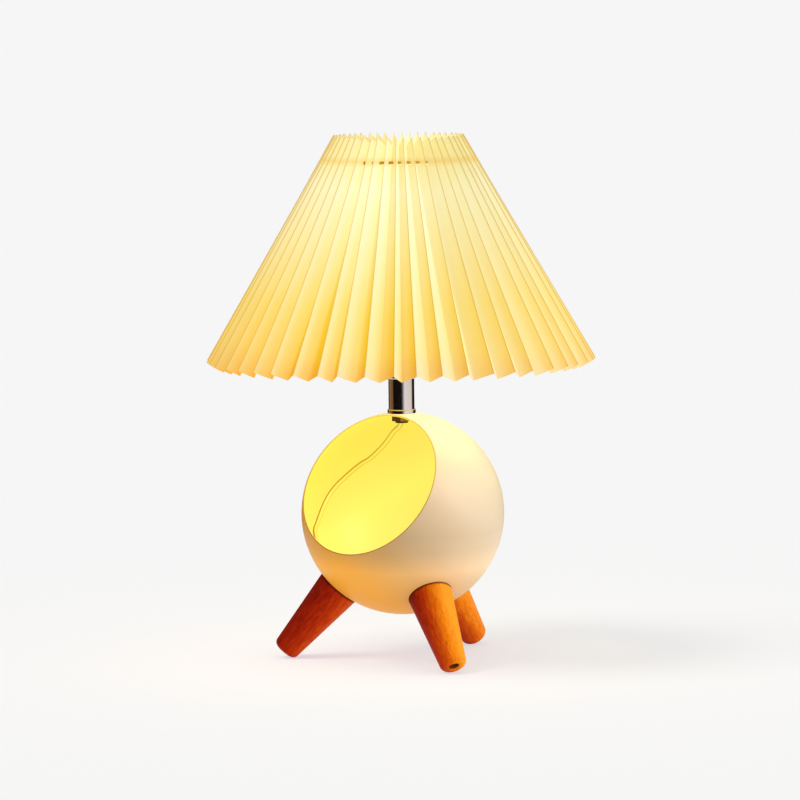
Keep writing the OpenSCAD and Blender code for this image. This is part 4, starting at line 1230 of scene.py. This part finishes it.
@dataclass
class Studio:
    """Pale floor, soft even light, cards for the polished neck and a camera at the photograph's angle."""

    azimuth: float = math.radians(36.4)
    distance: float = 4.0
    eye_up: float = 472.7
    look_up: float = 87.7
    lens: float = 234.0
    sensor: float = 36.0
    roll: float = 0.0119
    shift_px: float = -1.5
    image_px: float = 800.0
    reach: float = 60.0
    back: str = "#f6f6f6"
    even: float = 0.48
    suns: tuple[Sun, ...] = (
        Sun("left", turn=-70.0, height=58.0, level=0.32, shadow=True),
        Sun("right", turn=66.0, height=24.0, level=0.2, shadow=False))
    sun_soft: float = math.radians(30)
    glow_watts: float = 0.1
    glow_wide: float = 0.22
    glow_drop: float = 2.0
    glow_tone: str = "#fff3d2"
    floor_glow: float = 0.5
    cool: Point = (0.92, 1.0, 1.14)
    card_w: float = 8.0
    card_h: float = 1.2
    card_away: float = 0.6
    card_up: float = 0.55
    card_glow: float = 1.15
    cards: tuple[Card, ...] = (
        Card("left_card", -52.0, (
            (0.29, "#8c6036"), (0.452, "#785a3e"), (0.468, "#120a05"), (0.6, "#14120f"), (0.63, "#62554f"),
            (0.71, "#a89c98"))),
        Card("right_card", 90.0, (
            (0.28, "#a89c98"), (0.37, "#ece4e4"), (0.5, "#e4d4ca"), (0.518, "#ccbaae"), (0.53, "#2a1a10"))),
        Card("back_card", 180.0, (
            (0.57, "#1c1009"), (0.59, "#a07040"), (0.71, "#a07040"))))

    def build(self) -> None:
        """Set the camera, the floor, the world, the lamps and the cards."""
        bpy.context.scene.view_settings.view_transform = "Standard"
        self.camera()
        self.floor()
        self.world()
        for sun in self.suns:
            self.shine(sun)
        self.glow()
        for card in self.cards:
            self.stand(card)

    def camera(self) -> None:
        """Place the camera, with the photograph's slight roll."""
        data = bpy.data.cameras.new("camera")
        data.lens = self.lens
        data.sensor_width = self.sensor
        data.shift_x = self.shift_px / self.image_px
        data.clip_end = self.reach
        look = Vector((0.0, 0.0, (BALL_Z + self.look_up) * MM))
        eye = Vector((0.0, -self.distance, (BALL_Z + self.eye_up) * MM))
        eye.rotate(Euler((0, 0, self.azimuth)))
        turn = (look - eye).to_track_quat("-Z", "Y").to_matrix() @ Matrix.Rotation(-self.roll, 3, "Z")
        camera = bpy.data.objects.new("camera", data)
        camera.matrix_world = Matrix.Translation(eye) @ turn.to_4x4()
        bpy.context.scene.collection.objects.link(camera)
        bpy.context.scene.camera = camera

    def floor(self) -> None:
        """Add a wide floor in the background's colour, partly glowing so that its shadows stay light."""
        deselect()
        bpy.ops.mesh.primitive_plane_add(size=self.reach, location=(0, 0, 0))
        floor = bpy.context.object
        floor.name = "floor"
        material, tree, shader = blank("pale_floor")
        # The glow is a little cool, so that shadows stay grey beside warm wood
        glow = [self.floor_glow * part * share for part, share in zip(linear(self.back), self.cool)]
        rest = [part - lit for part, lit in zip(linear(self.back), glow)]
        feed(shader, {
            "Base Color": (*rest, 1.0), "Emission Color": (*glow, 1.0), "Emission Strength": 1.0,
            "Roughness": 1.0, "Specular IOR Level": 0.0})
        floor.data.materials.append(material)

    def world(self) -> None:
        """Light everything evenly, and show the plain background to the eye and to polished metal."""
        world = bpy.data.worlds.new("studio")
        bpy.context.scene.world = world
        world.use_nodes = True
        tree = world.node_tree
        soft = tree.nodes["Background"]
        feed(soft, {"Color": WHITE, "Strength": self.even})
        shown = add(tree, "Background", {"Color": linear(self.back), "Strength": 1.0})
        ray = add(tree, "LightPath").node.outputs
        met = add(tree, "Math", {0: ray["Is Camera Ray"], 1: ray["Is Glossy Ray"]}, operation="MAXIMUM")
        seen = add(tree, "Math", {0: met, 1: ray["Is Transmission Ray"]}, operation="MAXIMUM")
        mix = add(tree, "MixShader", {0: seen, 1: soft.outputs["Background"], 2: shown})
        feed(tree.nodes["World Output"], {"Surface": mix})

    def shine(self, sun: Sun) -> None:
        """Add a soft distant lamp.

        Args:
            sun: Its place and strength.
        """
        data = bpy.data.lights.new(sun.name, "SUN")
        data.angle = self.sun_soft
        data.energy = sun.level * math.pi / math.sin(math.radians(sun.height))
        data.use_shadow = sun.shadow
        way = Vector((0.0, -1.0, math.tan(math.radians(sun.height))))
        way.rotate(Euler((0, 0, self.azimuth + math.radians(sun.turn))))
        lamp = bpy.data.objects.new(sun.name, data)
        lamp.rotation_mode = "QUATERNION"
        lamp.rotation_quaternion = way.to_track_quat("Z", "Y")
        bpy.context.scene.collection.objects.link(lamp)

    def glow(self) -> None:
        """Let the lit shade shine down on the ball through its open lower edge."""
        data = bpy.data.lights.new("shade_glow", "AREA")
        data.shape = "DISK"
        data.size = self.glow_wide
        data.energy = self.glow_watts
        data.color = linear(self.glow_tone)[:3]
        lamp = bpy.data.objects.new("shade_glow", data)
        lamp.location = (0, 0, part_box("shade_fitter")[0].z - self.glow_drop * MM)
        lamp.visible_camera = False
        lamp.visible_glossy = False
        bpy.context.scene.collection.objects.link(lamp)

    def stand(self, card: Card) -> None:
        """Stand a graded card beside the lamp, for polished metal alone to mirror.

        Args:
            card: Its place and tones.
        """
        deselect()
        bpy.ops.mesh.primitive_plane_add(size=1.0)
        plane = bpy.context.object
        plane.name = card.name
        plane.scale = (self.card_w, self.card_h, 1.0)
        bpy.ops.object.transform_apply(location=False, rotation=False, scale=True)
        away = Vector((0.0, -self.card_away, self.card_up))
        turn = Euler((0, 0, self.azimuth + math.radians(card.turn)))
        away.rotate(turn)
        plane.location = away
        plane.rotation_euler = (math.pi / 2, 0, turn.z)
        material, tree, shader = blank(card.name)
        across = add(tree, "SeparateXYZ", {0: add(tree, "TexCoord", out="Object")}, "X")
        half = 0.5 * self.card_w
        share = add(tree, "MapRange", {"Value": across, "From Min": -half, "From Max": half})
        feed(shader, {
            "Base Color": BLACK, "Roughness": 1.0, "Specular IOR Level": 0.0,
            "Emission Color": add(tree, "ValToRGB", {"Fac": share}, stops=card.tones),
            "Emission Strength": self.card_glow})
        plane.data.materials.append(material)
        plane.visible_camera = False
        plane.visible_diffuse = False
        plane.visible_shadow = False
        plane.visible_transmission = False


def main() -> None:
    """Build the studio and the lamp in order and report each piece."""
    logging.basicConfig(level=logging.INFO, format="%(message)s")
    Studio().build()
    for part in (Cord(), PleatedShade(), Base(), Lampholder(), Bulb(), SwitchAndPlug()):
        for piece in part.build():
            LOG.info("%s: %s", type(part).__name__, piece.name)


if __name__ == "__main__":
    main()
